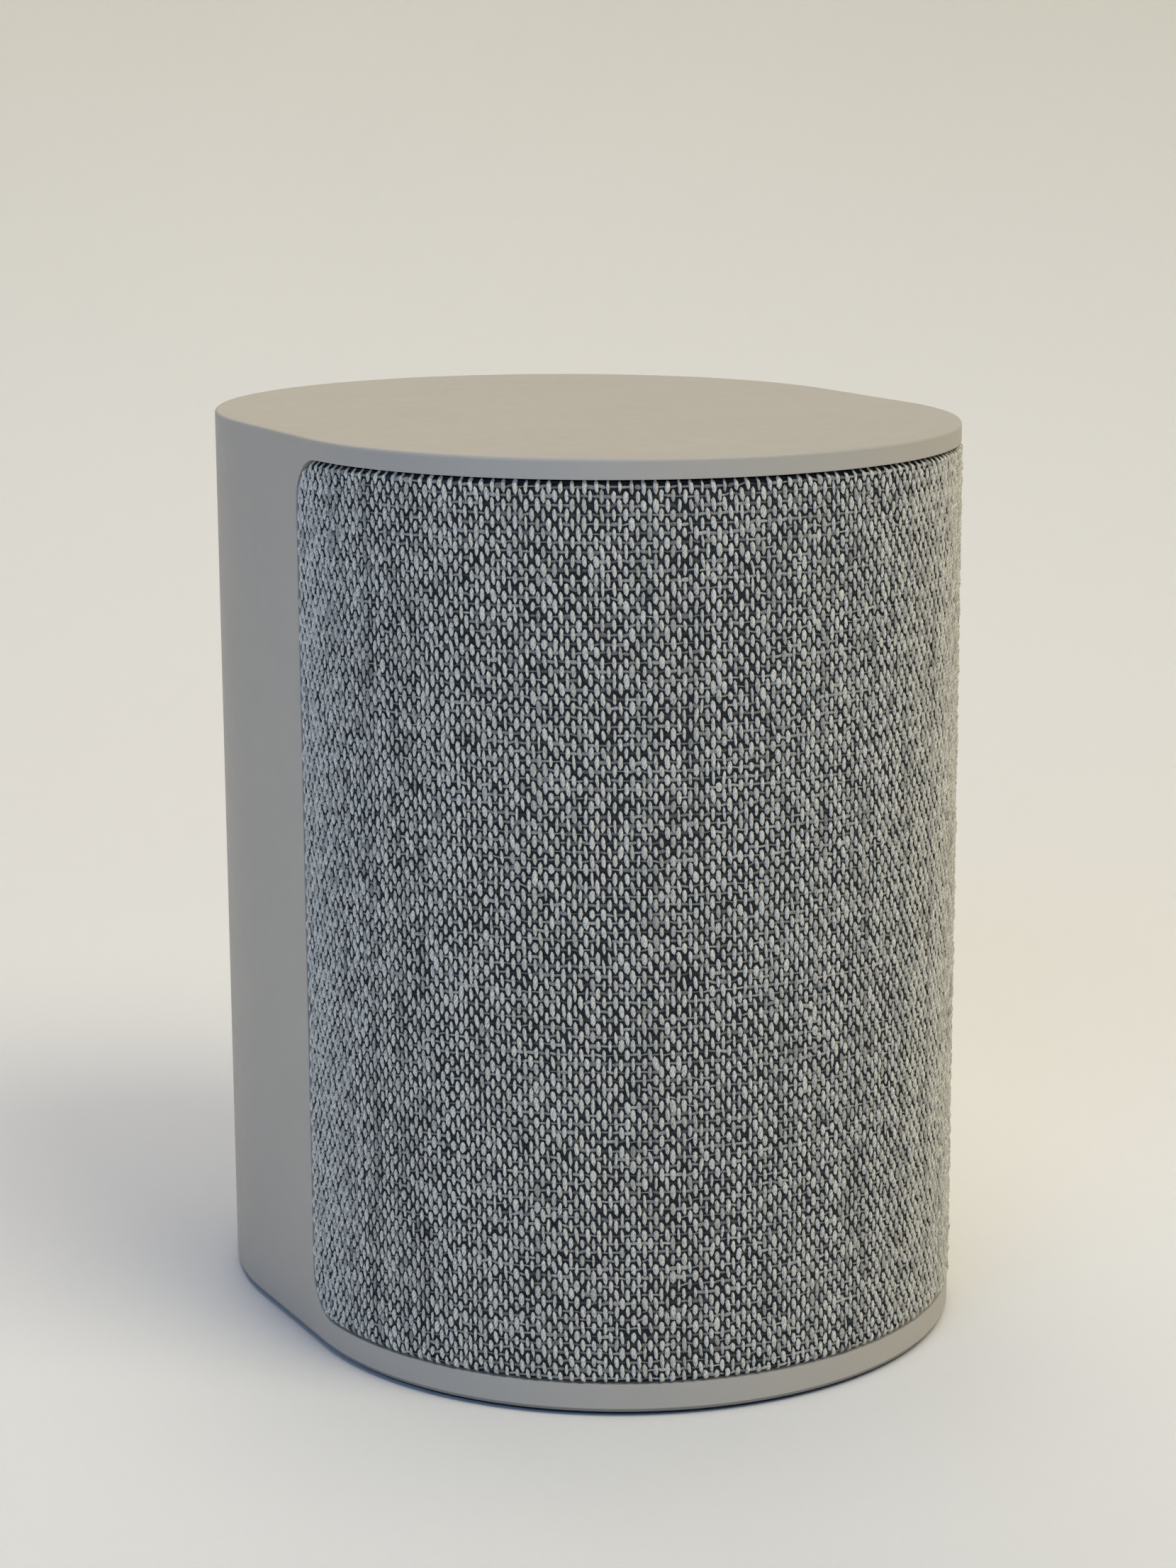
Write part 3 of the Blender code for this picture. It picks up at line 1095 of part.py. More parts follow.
# ---------------------------------------------------------------- assembly
def main():
    woofer_axis = add_axis("woofer_axis", at(0, BAFFLE_Y, WOOFER_Z) @ FORWARD)
    tweeter_axis = add_axis("tweeter_axis", at(0, BAFFLE_Y, TWEETER_Z) @ FORWARD)
    panel_axis = add_axis("panel_axis", at(0, PLUG_REAR, PANEL_LOW + PANEL_LENGTH / 2) @ REARWARD)

    make_housing()
    make_base()
    make_cover()
    enclosure, screw_bores = make_enclosure(woofer_axis, tweeter_axis)
    combine(enclosure, make_woofer_motor(woofer_axis))
    make_woofer_diaphragm(woofer_axis)
    combine(enclosure, make_tweeter(tweeter_axis))

    make_panel(panel_axis)
    make_buttons(panel_axis)
    make_connectors(panel_axis)
    make_panel_board(panel_axis)

    bay_low = ENCLOSURE_LOW + BOARD_MARGIN
    bay_high = ENCLOSURE_HIGH - BOARD_MARGIN
    middle = (bay_low + bay_high) / 2
    power_plan, power_stakes = board_plan(bay_low, middle - BOARD_MARGIN / 2, POWER_BOARD_WIDTH)
    main_plan, main_stakes = board_plan(middle + BOARD_MARGIN / 2, bay_high, MAIN_BOARD_WIDTH)
    make_power_board(bay_low, middle - BOARD_MARGIN / 2, power_plan)
    make_main_board(middle + BOARD_MARGIN / 2, bay_high, main_plan)

    side = CHAMBER_HALF - ENCLOSURE_WALL - CORNER_BOSS / 2
    woofer_exit = (side, WOOFER_Z)
    tweeter_exit = (-side, WOOFER_Z + WOOFER_RADIUS * 0.6)
    mirrored = [(-x, z) for x, z in (woofer_exit, tweeter_exit)]
    make_chamber_back(power_stakes + main_stakes, mirrored, screw_bores)
    make_leads(woofer_exit, tweeter_exit)
    make_aerials()


main()
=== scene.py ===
"""Looks for the compact smart speaker: painted housing, woven cover, drivers and rear panel."""
import math

import bmesh
import bpy
import numpy as np
from mathutils import Matrix, Vector
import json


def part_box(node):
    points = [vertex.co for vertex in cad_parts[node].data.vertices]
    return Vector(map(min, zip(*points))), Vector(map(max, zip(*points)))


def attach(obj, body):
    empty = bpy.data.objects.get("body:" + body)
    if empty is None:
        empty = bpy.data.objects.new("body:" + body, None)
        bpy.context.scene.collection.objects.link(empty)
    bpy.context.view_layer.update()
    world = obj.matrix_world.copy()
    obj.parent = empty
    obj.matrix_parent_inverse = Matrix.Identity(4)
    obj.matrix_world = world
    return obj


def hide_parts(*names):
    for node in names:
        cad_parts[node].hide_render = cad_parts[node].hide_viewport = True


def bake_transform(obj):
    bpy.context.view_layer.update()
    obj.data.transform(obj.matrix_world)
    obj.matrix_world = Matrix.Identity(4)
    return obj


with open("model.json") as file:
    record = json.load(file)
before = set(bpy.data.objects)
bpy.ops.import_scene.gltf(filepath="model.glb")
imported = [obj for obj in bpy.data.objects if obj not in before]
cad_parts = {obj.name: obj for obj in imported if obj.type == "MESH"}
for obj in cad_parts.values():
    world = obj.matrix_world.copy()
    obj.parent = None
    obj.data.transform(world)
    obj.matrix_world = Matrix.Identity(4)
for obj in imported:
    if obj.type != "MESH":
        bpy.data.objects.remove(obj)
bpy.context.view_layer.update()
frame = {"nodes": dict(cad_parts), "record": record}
NODES = frame["nodes"]
RNG = np.random.default_rng(20)

# ---- Places read from the frame ----
HOUSING_LOW, HOUSING_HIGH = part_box("housing_shell")
RADIUS = HOUSING_HIGH.x
ARC_Y = HOUSING_HIGH.y - RADIUS
TOP = HOUSING_HIGH.z
BOTTOM = HOUSING_LOW.z
CLOTH_LOW, CLOTH_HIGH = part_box("front_cover_cloth")
CLOTH_BACK = CLOTH_HIGH.y
PANEL_LOW, PANEL_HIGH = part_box("rear_panel")

# ---- Sizes of the fine forms, in metres ----
WALL = 0.0025
COVER_GAP = 0.0004
WINDOW_CORNER = 0.0075
RIM_FILLET = 0.0006
EDGE_FILLET = 0.0003
BOTTOM_FILLET = 0.0008
WINDOW_BACK = CLOTH_BACK + COVER_GAP
WINDOW_LOW = CLOTH_LOW.z - COVER_GAP
WINDOW_HIGH = CLOTH_HIGH.z + COVER_GAP
PANEL_LIP = 0.0030
SLOT_HALF = PANEL_HIGH.x - PANEL_LIP
SLOT_LOW = PANEL_LOW.z + PANEL_LIP
SLOT_HIGH = PANEL_HIGH.z - PANEL_LIP
SLOT_COLUMNS = 16          # from the middle of the back to the slot's end
SIDE_COLUMNS = 44          # from the slot's end to the window
CORNER_COLUMNS = 8         # round the window's corner
FRONT_COLUMNS = 56         # from the window's corner to the middle of the front
LOWER_ROWS = 6             # below the openings
MIDDLE_ROWS = 26           # beside the openings
UPPER_ROWS = 6             # above the openings
SHARP_ANGLE = math.radians(60)
OUTER_BAND = 0.0004        # edges this near the plan's outline are outer ones

LIP_INSET = 0.0027         # just inside the housing's wall
LIP_WIDTH = 0.0050
LIP_THINNEST = 0.00015
LIP_EDGE = 0.0011          # how far the lip stays inside the outline under the wall
LIP_RIB = 0.00012
LIP_ROUND = 0.0004         # the rounding of the lip's lower edge
LIP_GAP = 0.0001           # between the lip and the table, the base plate or a screw
LIP_STEPS = 480

WARP_PITCH = 0.00089
WEFT_PITCH = 0.00140
FLOAT_JITTER = 0.000028    # how far a float's points stray from its smooth outline
FLOAT_LUMPS = 0.12         # how much a float's height varies from point to point
CLOTH_EDGE = 0.0008        # where the cloth starts to turn inward
CLOTH_DROP = 0.0008        # how far it has turned inward at its edge
CLOTH_SPREAD = 0.0002      # the soft edge reaches past the CAD sheet, towards the window's edge
GROUND_SINK = 0.00012      # how far the ground lies below the yarns' base
BASE_RADIUS = RADIUS - 0.00025
WARP_PARTS = 3
WEFT_PARTS = 2
FIBRE_COUNT = 420
FIBRE_STEPS = 6
FIBRE_MARGIN = 0.003       # from the cloth's edges

LATHE_STEPS = 96
SECTORS = 16
SECTOR_COLUMNS = 7
CONE_STEPS = 48
CONE_SKIN = 0.0007
CONE_SAG = 0.0011
CONE_RIDGE = 0.00022
CAP_STEPS = 12
CAP_SKIN = 0.0005
SURROUND_STEPS = 14
SURROUND_SKIN = 0.0005
SPIDER_SKIN = 0.0004
SPIDER_WAVES = 6


# ---------------------------------------------------------------- node materials
class Look:
    """A Principled material with procedural colour, roughness and bump."""

    def __init__(self, name, colour, roughness, metallic=0.0):
        self.material = bpy.data.materials.new(name)
        self.material.use_nodes = True
        self.nodes = self.material.node_tree.nodes
        self.links = self.material.node_tree.links
        self.shader = self.nodes["Principled BSDF"]
        self.shader.inputs["Base Color"].default_value = (*colour, 1)
        self.shader.inputs["Roughness"].default_value = roughness
        self.shader.inputs["Metallic"].default_value = metallic
        self.place = self.nodes.new("ShaderNodeTexCoord").outputs["Object"]
        self.normal = None

    def noise(self, scale, detail=4.0, rough=0.55, stretch=None):
        node = self.nodes.new("ShaderNodeTexNoise")
        node.inputs["Scale"].default_value = scale
        node.inputs["Detail"].default_value = detail
        node.inputs["Roughness"].default_value = rough
        place = self.place
        if stretch:
            mapping = self.nodes.new("ShaderNodeMapping")
            mapping.inputs["Scale"].default_value = stretch
            self.links.new(place, mapping.inputs["Vector"])
            place = mapping.outputs["Vector"]
        self.links.new(place, node.inputs["Vector"])
        return node.outputs["Fac"]

    def ramp(self, value, low, high, out_low, out_high):
        node = self.nodes.new("ShaderNodeMapRange")
        limits = {"From Min": low, "From Max": high, "To Min": out_low, "To Max": out_high}
        for name, number in limits.items():
            node.inputs[name].default_value = number
        self.links.new(value, node.inputs["Value"])
        return node.outputs["Result"]

    def math(self, operation, first, second=0.0):
        node = self.nodes.new("ShaderNodeMath")
        node.operation = operation
        for socket, value in zip(node.inputs, (first, second)):
            if isinstance(value, (int, float)):
                socket.default_value = value
            else:
                self.links.new(value, socket)
        return node.outputs["Value"]

    def mix(self, factor, first, second, blend="MIX"):
        node = self.nodes.new("ShaderNodeMix")
        node.data_type = "RGBA"
        node.blend_type = blend
        sockets = (node.inputs["Factor"], node.inputs[6], node.inputs[7])
        for socket, value in zip(sockets, (factor, first, second)):
            if isinstance(value, (int, float)):
                socket.default_value = value
            elif isinstance(value, tuple):
                socket.default_value = (*value, 1)
            else:
                self.links.new(value, socket)
        return node.outputs[2]

    def paint(self, colour):
        self.links.new(colour, self.shader.inputs["Base Color"])

    def matt(self, roughness):
        self.links.new(roughness, self.shader.inputs["Roughness"])

    def bump(self, height, distance, strength=1.0):
        node = self.nodes.new("ShaderNodeBump")
        node.inputs["Distance"].default_value = distance
        node.inputs["Strength"].default_value = strength
        self.links.new(height, node.inputs["Height"])
        if self.normal is not None:
            self.links.new(self.normal, node.inputs["Normal"])
        self.normal = node.outputs["Normal"]
        self.links.new(self.normal, self.shader.inputs["Normal"])


def tinted(colour, share):
    return tuple(min(1.0, channel * share) for channel in colour)


def moulded(name, colour, roughness, grain=9000.0, depth=0.00003, metallic=0.0):
    """Moulded or cast surface: fine grain, cloudy tone, rubbed patches with another gloss."""
    look = Look(name, colour, roughness, metallic)
    clouds = look.noise(70, 5)
    share = look.ramp(clouds, 0.3, 0.7, 0, 1)
    look.paint(look.mix(share, tinted(colour, 0.88), tinted(colour, 1.12)))
    rubbed = look.noise(260, 6, 0.65)
    look.matt(look.ramp(rubbed, 0.35, 0.7, roughness + 0.06, roughness - 0.10))
    look.bump(look.noise(grain, 3), depth)
    return look


# Dark bluish grey for the painted shade on the housing's lower chamfer.
UNDERSIDE_SHADE_COLOUR = (0.085, 0.090, 0.100)
YARN_ROUGHNESS = 0.88
PLY_TURNS = 13.0


def painted(name, colour):
    """Satin paint on a moulding: fine grain, mottling, dust specks, a worn rim and painted shade on the lower
    edge.
    """
    look = Look(name, colour, 0.50)
    tone = look.mix(look.ramp(look.noise(38, 4), 0.3, 0.7, 0, 1), tinted(colour, 0.975), tinted(colour, 1.02))
    specks = look.ramp(look.noise(2600, 2), 0.70, 0.80, 0, 0.14)
    tone = look.mix(specks, tone, tinted(colour, 0.72))
    separate = look.nodes.new("ShaderNodeSeparateXYZ")
    look.links.new(look.place, separate.inputs[0])
    height = separate.outputs["Z"]
    rim = look.ramp(height, TOP - RIM_FILLET * 1.3, TOP - RIM_FILLET * 0.6, 0, 1)
    flat = look.ramp(height, TOP - RIM_FILLET * 0.25, TOP, 1, 0)
    worn = look.math("MULTIPLY", look.math("MULTIPLY", rim, flat), 0.30)
    tone = look.mix(worn, tone, tinted(colour, 1.30))
    grain = look.noise(5200, 3, 0.7)
    tone = look.mix(look.ramp(grain, 0.35, 0.65, 0, 0.5), tone, tinted(colour, 0.93))
    # Painted shade: the chamfer at the lower edge turns dark bluish grey, for the shade under the housing.
    low = look.ramp(height, BOTTOM + BOTTOM_FILLET * 0.8, BOTTOM + BOTTOM_FILLET * 1.05, 0.62, 0)
    tone = look.mix(low, tone, UNDERSIDE_SHADE_COLOUR)
    look.paint(tone)
    look.matt(look.ramp(look.noise(300, 5), 0.3, 0.7, 0.46, 0.56))
    look.bump(look.noise(1500, 3), 0.000004)
    look.bump(grain, 0.000008)
    return look


def brushed(name, colour, roughness, stretch=(1, 1, 14)):
    """Plated or drawn metal: fine scratches along one way and dulled patches."""
    look = Look(name, colour, roughness, 1.0)
    lines = look.noise(900, 4, 0.6, stretch)
    look.paint(look.mix(lines, tinted(colour, 0.82), tinted(colour, 1.10)))
    look.matt(look.ramp(look.noise(500, 5, 0.6), 0.3, 0.75, roughness - 0.06, roughness + 0.14))
    look.bump(lines, 0.00001)
    return look


def circuit(name, colour):
    """Solder-masked board: darker traces, paler pads and a slight sheen."""
    look = Look(name, colour, 0.38)
    cells = look.nodes.new("ShaderNodeTexVoronoi")
    cells.distance = "MANHATTAN"
    cells.inputs["Scale"].default_value = 240
    look.links.new(look.place, cells.inputs["Vector"])
    traces = look.ramp(cells.outputs["Distance"], 0.42, 0.50, 0, 1)
    tone = look.mix(traces, colour, tinted(colour, 1.9))
    pads = look.ramp(look.noise(420, 2), 0.66, 0.68, 0, 0.8)
    look.paint(look.mix(pads, tone, (0.55, 0.52, 0.42)))
    look.matt(look.ramp(look.noise(300, 3), 0.3, 0.7, 0.30, 0.46))
    look.bump(traces, 0.00004)
    return look


def fibrous(name, colour, roughness, scale=1200.0, depth=0.00008):
    """Pressed paper, felt, foam or coated cloth: tangled fibres and uneven tone."""
    look = Look(name, colour, roughness)
    fibres = look.noise(scale, 8, 0.7)
    look.paint(look.mix(look.ramp(fibres, 0.3, 0.7, 0, 1), tinted(colour, 0.6), tinted(colour, 1.5)))
    look.matt(look.ramp(look.noise(150, 4), 0.3, 0.7, roughness - 0.08, roughness + 0.05))
    look.bump(fibres, depth)
    return look


def yarn(name, dark, light):
    """Spun melange yarn: its tone comes with each float, its twisted plies and fibres from nodes, with
    painted shade in the ply grooves and at each float's sides.
    """
    look = Look(name, light, YARN_ROUGHNESS)
    attribute = look.nodes.new("ShaderNodeAttribute")
    attribute.attribute_name = "tone"
    split = look.nodes.new("ShaderNodeSeparateColor")
    look.links.new(attribute.outputs["Color"], split.inputs[0])
    level, across, along = (split.outputs[index] for index in range(3))
    tone = look.mix(level, dark, light)
    twist = look.math("ADD", across, look.math("MULTIPLY", along, 1.3))
    wave = look.math("SINE", look.math("MULTIPLY", twist, PLY_TURNS))
    # Painted shade: darker along the groove between the twisted plies.
    ply_groove_shade = look.ramp(wave, -1.0, -0.45, 0.38, 0.0)
    hairs = look.noise(6400, 5, 0.75, (1, 1, 0.35))
    tone = look.mix(look.ramp(hairs, 0.40, 0.56, 0.50, 0.0), tone, tinted(dark, 1.6))
    tone = look.mix(ply_groove_shade, tone, tinted(dark, 1.6))
    # Painted shade: each float darkens towards its sides, where it curves down into the gaps.
    edge = look.math("ABSOLUTE", look.math("SUBTRACT", across, 0.5))
    tone = look.mix(look.ramp(edge, 0.32, 0.5, 0.0, 0.40), tone, dark)
    look.paint(tone)
    look.shader.inputs["Sheen Weight"].default_value = 0.06
    look.shader.inputs["Sheen Roughness"].default_value = 0.5
    look.matt(look.ramp(hairs, 0.3, 0.7, YARN_ROUGHNESS, YARN_ROUGHNESS + 0.08))
    look.bump(wave, 0.00005, 0.6)
    look.bump(hairs, 0.00006, 0.8)
    return look


HOUSING_COLOUR = (0.492, 0.458, 0.415)
LOOKS = {
    "painted_housing": painted("housing_paint", HOUSING_COLOUR),
    # The cloth's near-black ground is painted shade for the gaps between the yarns.
    "cloth": fibrous("cloth_ground_gap_shade", (0.022, 0.024, 0.027), 0.95, 2500, 0.00010),
    "black_plastic": moulded("black_moulding", (0.018, 0.018, 0.019), 0.52),
    "rubber": moulded("black_rubber", (0.012, 0.012, 0.012), 0.80, 5000, 0.00005),
    "paper_cone": fibrous("cone_paper", (0.022, 0.022, 0.024), 0.78),
    "ferrite": moulded("ferrite", (0.045, 0.045, 0.048), 0.62, 2600, 0.00008),
    "plated_steel": brushed("plated_steel", (0.58, 0.57, 0.53), 0.32),
    "dark_steel": moulded("coated_steel", (0.030, 0.030, 0.032), 0.42, 6000, 0.00003, 0.3),
    "aluminium": brushed("drawn_aluminium", (0.66, 0.66, 0.67), 0.33, (14, 1, 1)),
    "copper": brushed("copper_winding", (0.62, 0.27, 0.12), 0.34, (1, 24, 1)),
    "brass": brushed("nickelled_brass", (0.66, 0.60, 0.46), 0.26, (1, 10, 1)),
    "board": circuit("circuit_board", (0.012, 0.075, 0.035)),
    "spider_cloth": fibrous("spider_cloth", (0.40, 0.24, 0.08), 0.86, 1800),
    "silk": fibrous("dome_silk", (0.035, 0.035, 0.038), 0.55, 3200, 0.00003),
    "foam": fibrous("foam", (0.045, 0.045, 0.048), 0.95, 900, 0.00025),
    "clear_plastic": moulded("light_pipe", (0.72, 0.76, 0.74), 0.20, 2000, 0.00001),
}
WARP_LOOK = yarn("warp_yarn", (0.026, 0.027, 0.029), (1.0, 0.97, 0.88))
WEFT_LOOK = yarn("weft_yarn", (0.020, 0.021, 0.023), (0.78, 0.755, 0.70))


def dress(piece, slot):
    piece.data.materials.clear()
    piece.data.materials.append(LOOKS[slot].material)


def dress_nodes():
    for row in frame["record"]["subparts"]:
        node = NODES[row["node"]]
        material = LOOKS[row["material_slot"]].material
        if not node.material_slots:
            node.data.materials.append(material)
        for place in node.material_slots:
            place.material = material


# ---------------------------------------------------------------- mesh helpers
def placed(name, data):
    """A new object in the scene that holds the data."""
    item = bpy.data.objects.new(name, data)
    bpy.context.scene.collection.objects.link(item)
    return item


def make_piece(name, verts, faces, slot, body, smooth=40):
    """A mesh in its slot's look that rides a body; edges over smooth degrees stay sharp."""
    mesh = bpy.data.meshes.new(name)
    mesh.from_pydata(verts, [], faces)
    mesh.validate()
    mesh.shade_smooth()
    if smooth:
        mesh.set_sharp_from_angle(angle=math.radians(smooth))
    piece = placed(name, mesh)
    dress(piece, slot)
    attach(piece, body)
    return piece


def grid_faces(rows, columns, wrap=False):
    """Quads between neighbouring rows of points; wrap closes each row."""
    faces = []
    for row in range(rows - 1):
        for column in range(columns if wrap else columns - 1):
            after = (column + 1) % columns
            faces.append((row * columns + column, row * columns + after,
                          (row + 1) * columns + after, (row + 1) * columns + column))
    return faces


def closing_faces(rows, columns):
    """Quads from the last wrapped row of a grid back to its first."""
    last = (rows - 1) * columns
    return [(last + step, last + (step + 1) % columns, (step + 1) % columns, step) for step in range(columns)]


def lathe(name, profile, centre, slot, body, replaced, closed=False):
    """A turned piece about the Y axis through centre, made from (radius, level forward) points."""
    rings = []
    for radius, level in profile:
        for step in range(LATHE_STEPS):
            angle = 2 * math.pi * step / LATHE_STEPS
            rings.append((centre[0] + radius * math.cos(angle), centre[1] - level,
                          centre[2] + radius * math.sin(angle)))
    faces = grid_faces(len(profile), LATHE_STEPS, wrap=True)
    if closed:
        faces += closing_faces(len(profile), LATHE_STEPS)
    piece = make_piece(name, rings, faces, slot, body)
    bm = bmesh.new()
    bm.from_mesh(piece.data)
    bmesh.ops.remove_doubles(bm, verts=bm.verts, dist=1e-6)
    bmesh.ops.recalc_face_normals(bm, faces=bm.faces)
    bm.to_mesh(piece.data)
    bm.free()
    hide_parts(replaced)


def blended_ring(name, profile, centre, slot, replaced):
    """A soft ring about the Y axis, made in sectors and baked into world place."""
    half = math.pi / SECTORS
    for sector in range(SECTORS):
        middle = 2 * math.pi * (sector + 0.5) / SECTORS
        verts = []
        for radius, level in profile:
            for step in range(SECTOR_COLUMNS):
                angle = middle + half * (2 * step / (SECTOR_COLUMNS - 1) - 1)
                verts.append((centre[0] + radius * math.cos(angle), centre[1] - level,
                              centre[2] + radius * math.sin(angle)))
        faces = grid_faces(len(profile), SECTOR_COLUMNS)
        last = (len(profile) - 1) * SECTOR_COLUMNS
        faces += [(last + step, last + step + 1, step + 1, step) for step in range(SECTOR_COLUMNS - 1)]
        mesh = bpy.data.meshes.new(f"{name}_{sector + 1}")
        mesh.from_pydata(verts, [], faces)
        bm = bmesh.new()
        bm.from_mesh(mesh)
        bmesh.ops.recalc_face_normals(bm, faces=bm.faces)
        bm.to_mesh(mesh)
        bm.free()
        mesh.shade_smooth()
        mesh.set_sharp_from_angle(angle=math.radians(50))
        piece = placed(f"{name}_{sector + 1}", mesh)
        dress(piece, slot)
        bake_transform(piece)
        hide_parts(replaced)


# ---------------------------------------------------------------- housing
QUARTER = math.pi * RADIUS / 2


def plan_point(s):
    """Point and outward direction on the stadium, s along it from the middle of the back."""
    side = 1 if s >= 0 else -1
    s = abs(s)
    if QUARTER <= s < QUARTER + 2 * ARC_Y:
        return side * RADIUS, ARC_Y - (s - QUARTER), side, 0.0
    if s < QUARTER:
        angle = s / RADIUS
        return (side * RADIUS * math.sin(angle), ARC_Y + RADIUS * math.cos(angle),
                side * math.sin(angle), math.cos(angle))
    angle = min((s - QUARTER - 2 * ARC_Y) / RADIUS, math.pi / 2)
    return (side * RADIUS * math.cos(angle), -ARC_Y - RADIUS * math.sin(angle),
            side * math.cos(angle), -math.sin(angle))


def housing_columns():
    """Half of the plan: (s, opening low, opening high), from the middle of the back to the front."""
    columns = []
    for step in range(SLOT_COLUMNS + 1):
        x = SLOT_HALF * math.sin(math.pi / 2 * step / SLOT_COLUMNS)
        drop = SLOT_HALF - math.sqrt(max(SLOT_HALF**2 - x**2, 0))
        columns.append((math.asin(x / RADIUS) * RADIUS, SLOT_LOW + drop, SLOT_HIGH - drop))
    slot_s, low_join, high_join = columns[-1]
    back_s = QUARTER + ARC_Y - WINDOW_BACK
    window_low = WINDOW_LOW + WINDOW_CORNER
    window_high = WINDOW_HIGH - WINDOW_CORNER
    for step in range(1, SIDE_COLUMNS + 1):
        share = step / SIDE_COLUMNS
        ease = share * share * (3 - 2 * share)
        columns.append((slot_s + (back_s - slot_s) * share, low_join + (window_low - low_join) * ease,
                        high_join + (window_high - high_join) * ease))
    for step in range(1, CORNER_COLUMNS + 1):
        angle = math.pi / 2 * step / CORNER_COLUMNS
        inward = WINDOW_CORNER * (1 - math.cos(angle))
        rise = WINDOW_CORNER * (1 - math.sin(angle))
        columns.append((back_s + inward, WINDOW_LOW + rise, WINDOW_HIGH - rise))
    start = columns[-1][0]
    end = QUARTER + 2 * ARC_Y + QUARTER
    for step in range(1, FRONT_COLUMNS + 1):
        columns.append((start + (end - start) * step / FRONT_COLUMNS, WINDOW_LOW, WINDOW_HIGH))
    return columns


def housing_skin():
    """The housing's outer surface as one mesh: the walls with both openings, and the flat top."""
    half = housing_columns()
    left = [(-s, low, high) for s, low, high in half[::-1]]
    columns = left[:-1] + half
    verts = []
    for s, gap_low, gap_high in columns:
        x, y, _, _ = plan_point(s)
        levels = [BOTTOM + (gap_low - BOTTOM) * row / LOWER_ROWS for row in range(LOWER_ROWS)]
        levels += [gap_low + (gap_high - gap_low) * row / MIDDLE_ROWS for row in range(MIDDLE_ROWS)]
        levels += [gap_high + (TOP - gap_high) * row / UPPER_ROWS for row in range(UPPER_ROWS + 1)]
        verts += [(x, y, level) for level in levels]
    rows = LOWER_ROWS + MIDDLE_ROWS + UPPER_ROWS + 1
    bm = bmesh.new()
    made = [bm.verts.new(vert) for vert in verts]
    for column in range(len(columns) - 1):
        s_middle = abs(columns[column][0] + columns[column + 1][0]) / 2
        in_slot = s_middle < half[SLOT_COLUMNS][0]
        in_window = s_middle > half[SLOT_COLUMNS + SIDE_COLUMNS][0]
        for row in range(rows - 1):
            if LOWER_ROWS <= row < LOWER_ROWS + MIDDLE_ROWS and (in_slot or in_window):
                continue
            a = column * rows + row
            b = (column + 1) * rows + row
            bm.faces.new((made[b], made[a], made[a + 1], made[b + 1]))
    bmesh.ops.remove_doubles(bm, verts=bm.verts, dist=1e-7)
    loose = [vert for vert in bm.verts if not vert.link_faces]
    bmesh.ops.delete(bm, geom=loose, context="VERTS")
    top_edges = [edge for edge in bm.edges if len(edge.link_faces) == 1
                 and min(vert.co.z for vert in edge.verts) > TOP - 1e-6]
    bmesh.ops.contextual_create(bm, geom=top_edges)
    bmesh.ops.recalc_face_normals(bm, faces=bm.faces)
    mesh = bpy.data.meshes.new("housing")
    bm.to_mesh(mesh)
    bm.free()
    return mesh


def make_housing():
    """The painted shell: the skin made a wall thick, with its outer edges rounded."""
    shell = placed("housing_fine", housing_skin())
    solid = shell.modifiers.new("wall", "SOLIDIFY")
    solid.thickness = WALL
    solid.offset = -1
    solid.use_even_offset = True
    solid.use_quality_normals = True
    depsgraph = bpy.context.evaluated_depsgraph_get()
    walled = bpy.data.meshes.new_from_object(shell.evaluated_get(depsgraph))
    bpy.data.objects.remove(shell, do_unlink=True)

    bm = bmesh.new()
    bm.from_mesh(walled)
    bmesh.ops.recalc_face_normals(bm, faces=bm.faces)

    def outer(edge):
        middle = (edge.verts[0].co + edge.verts[1].co) / 2
        reach = math.hypot(middle.x, max(abs(middle.y) - ARC_Y, 0))
        return reach > RADIUS - OUTER_BAND

    def round_off(inside, radius, segments):
        edges = [edge for edge in bm.edges if len(edge.link_faces) == 2
                 and edge.calc_face_angle() > SHARP_ANGLE and outer(edge) and inside(edge)]
        bmesh.ops.bevel(bm, geom=edges, offset=radius, segments=segments, profile=0.5, affect="EDGES",
                        clamp_overlap=True)

    round_off(lambda edge: min(vert.co.z for vert in edge.verts) > TOP - 1e-5, RIM_FILLET, 4)
    round_off(lambda edge: max(vert.co.z for vert in edge.verts) < BOTTOM + 1e-5, BOTTOM_FILLET, 2)
    round_off(lambda edge: BOTTOM + 0.002 < edge.verts[0].co.z < TOP - 0.002, EDGE_FILLET, 2)
    mesh = bpy.data.meshes.new("housing_fine")
    bm.to_mesh(mesh)
    bm.free()
    mesh.shade_smooth()
    mesh.set_sharp_from_angle(angle=math.radians(35))
    piece = placed("housing_fine", mesh)
    normals = piece.modifiers.new("flat_faces", "WEIGHTED_NORMAL")
    normals.keep_sharp = True
    normals.weight = 80
    dress(piece, "painted_housing")
    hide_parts("housing_shell")
    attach(piece, "housing")


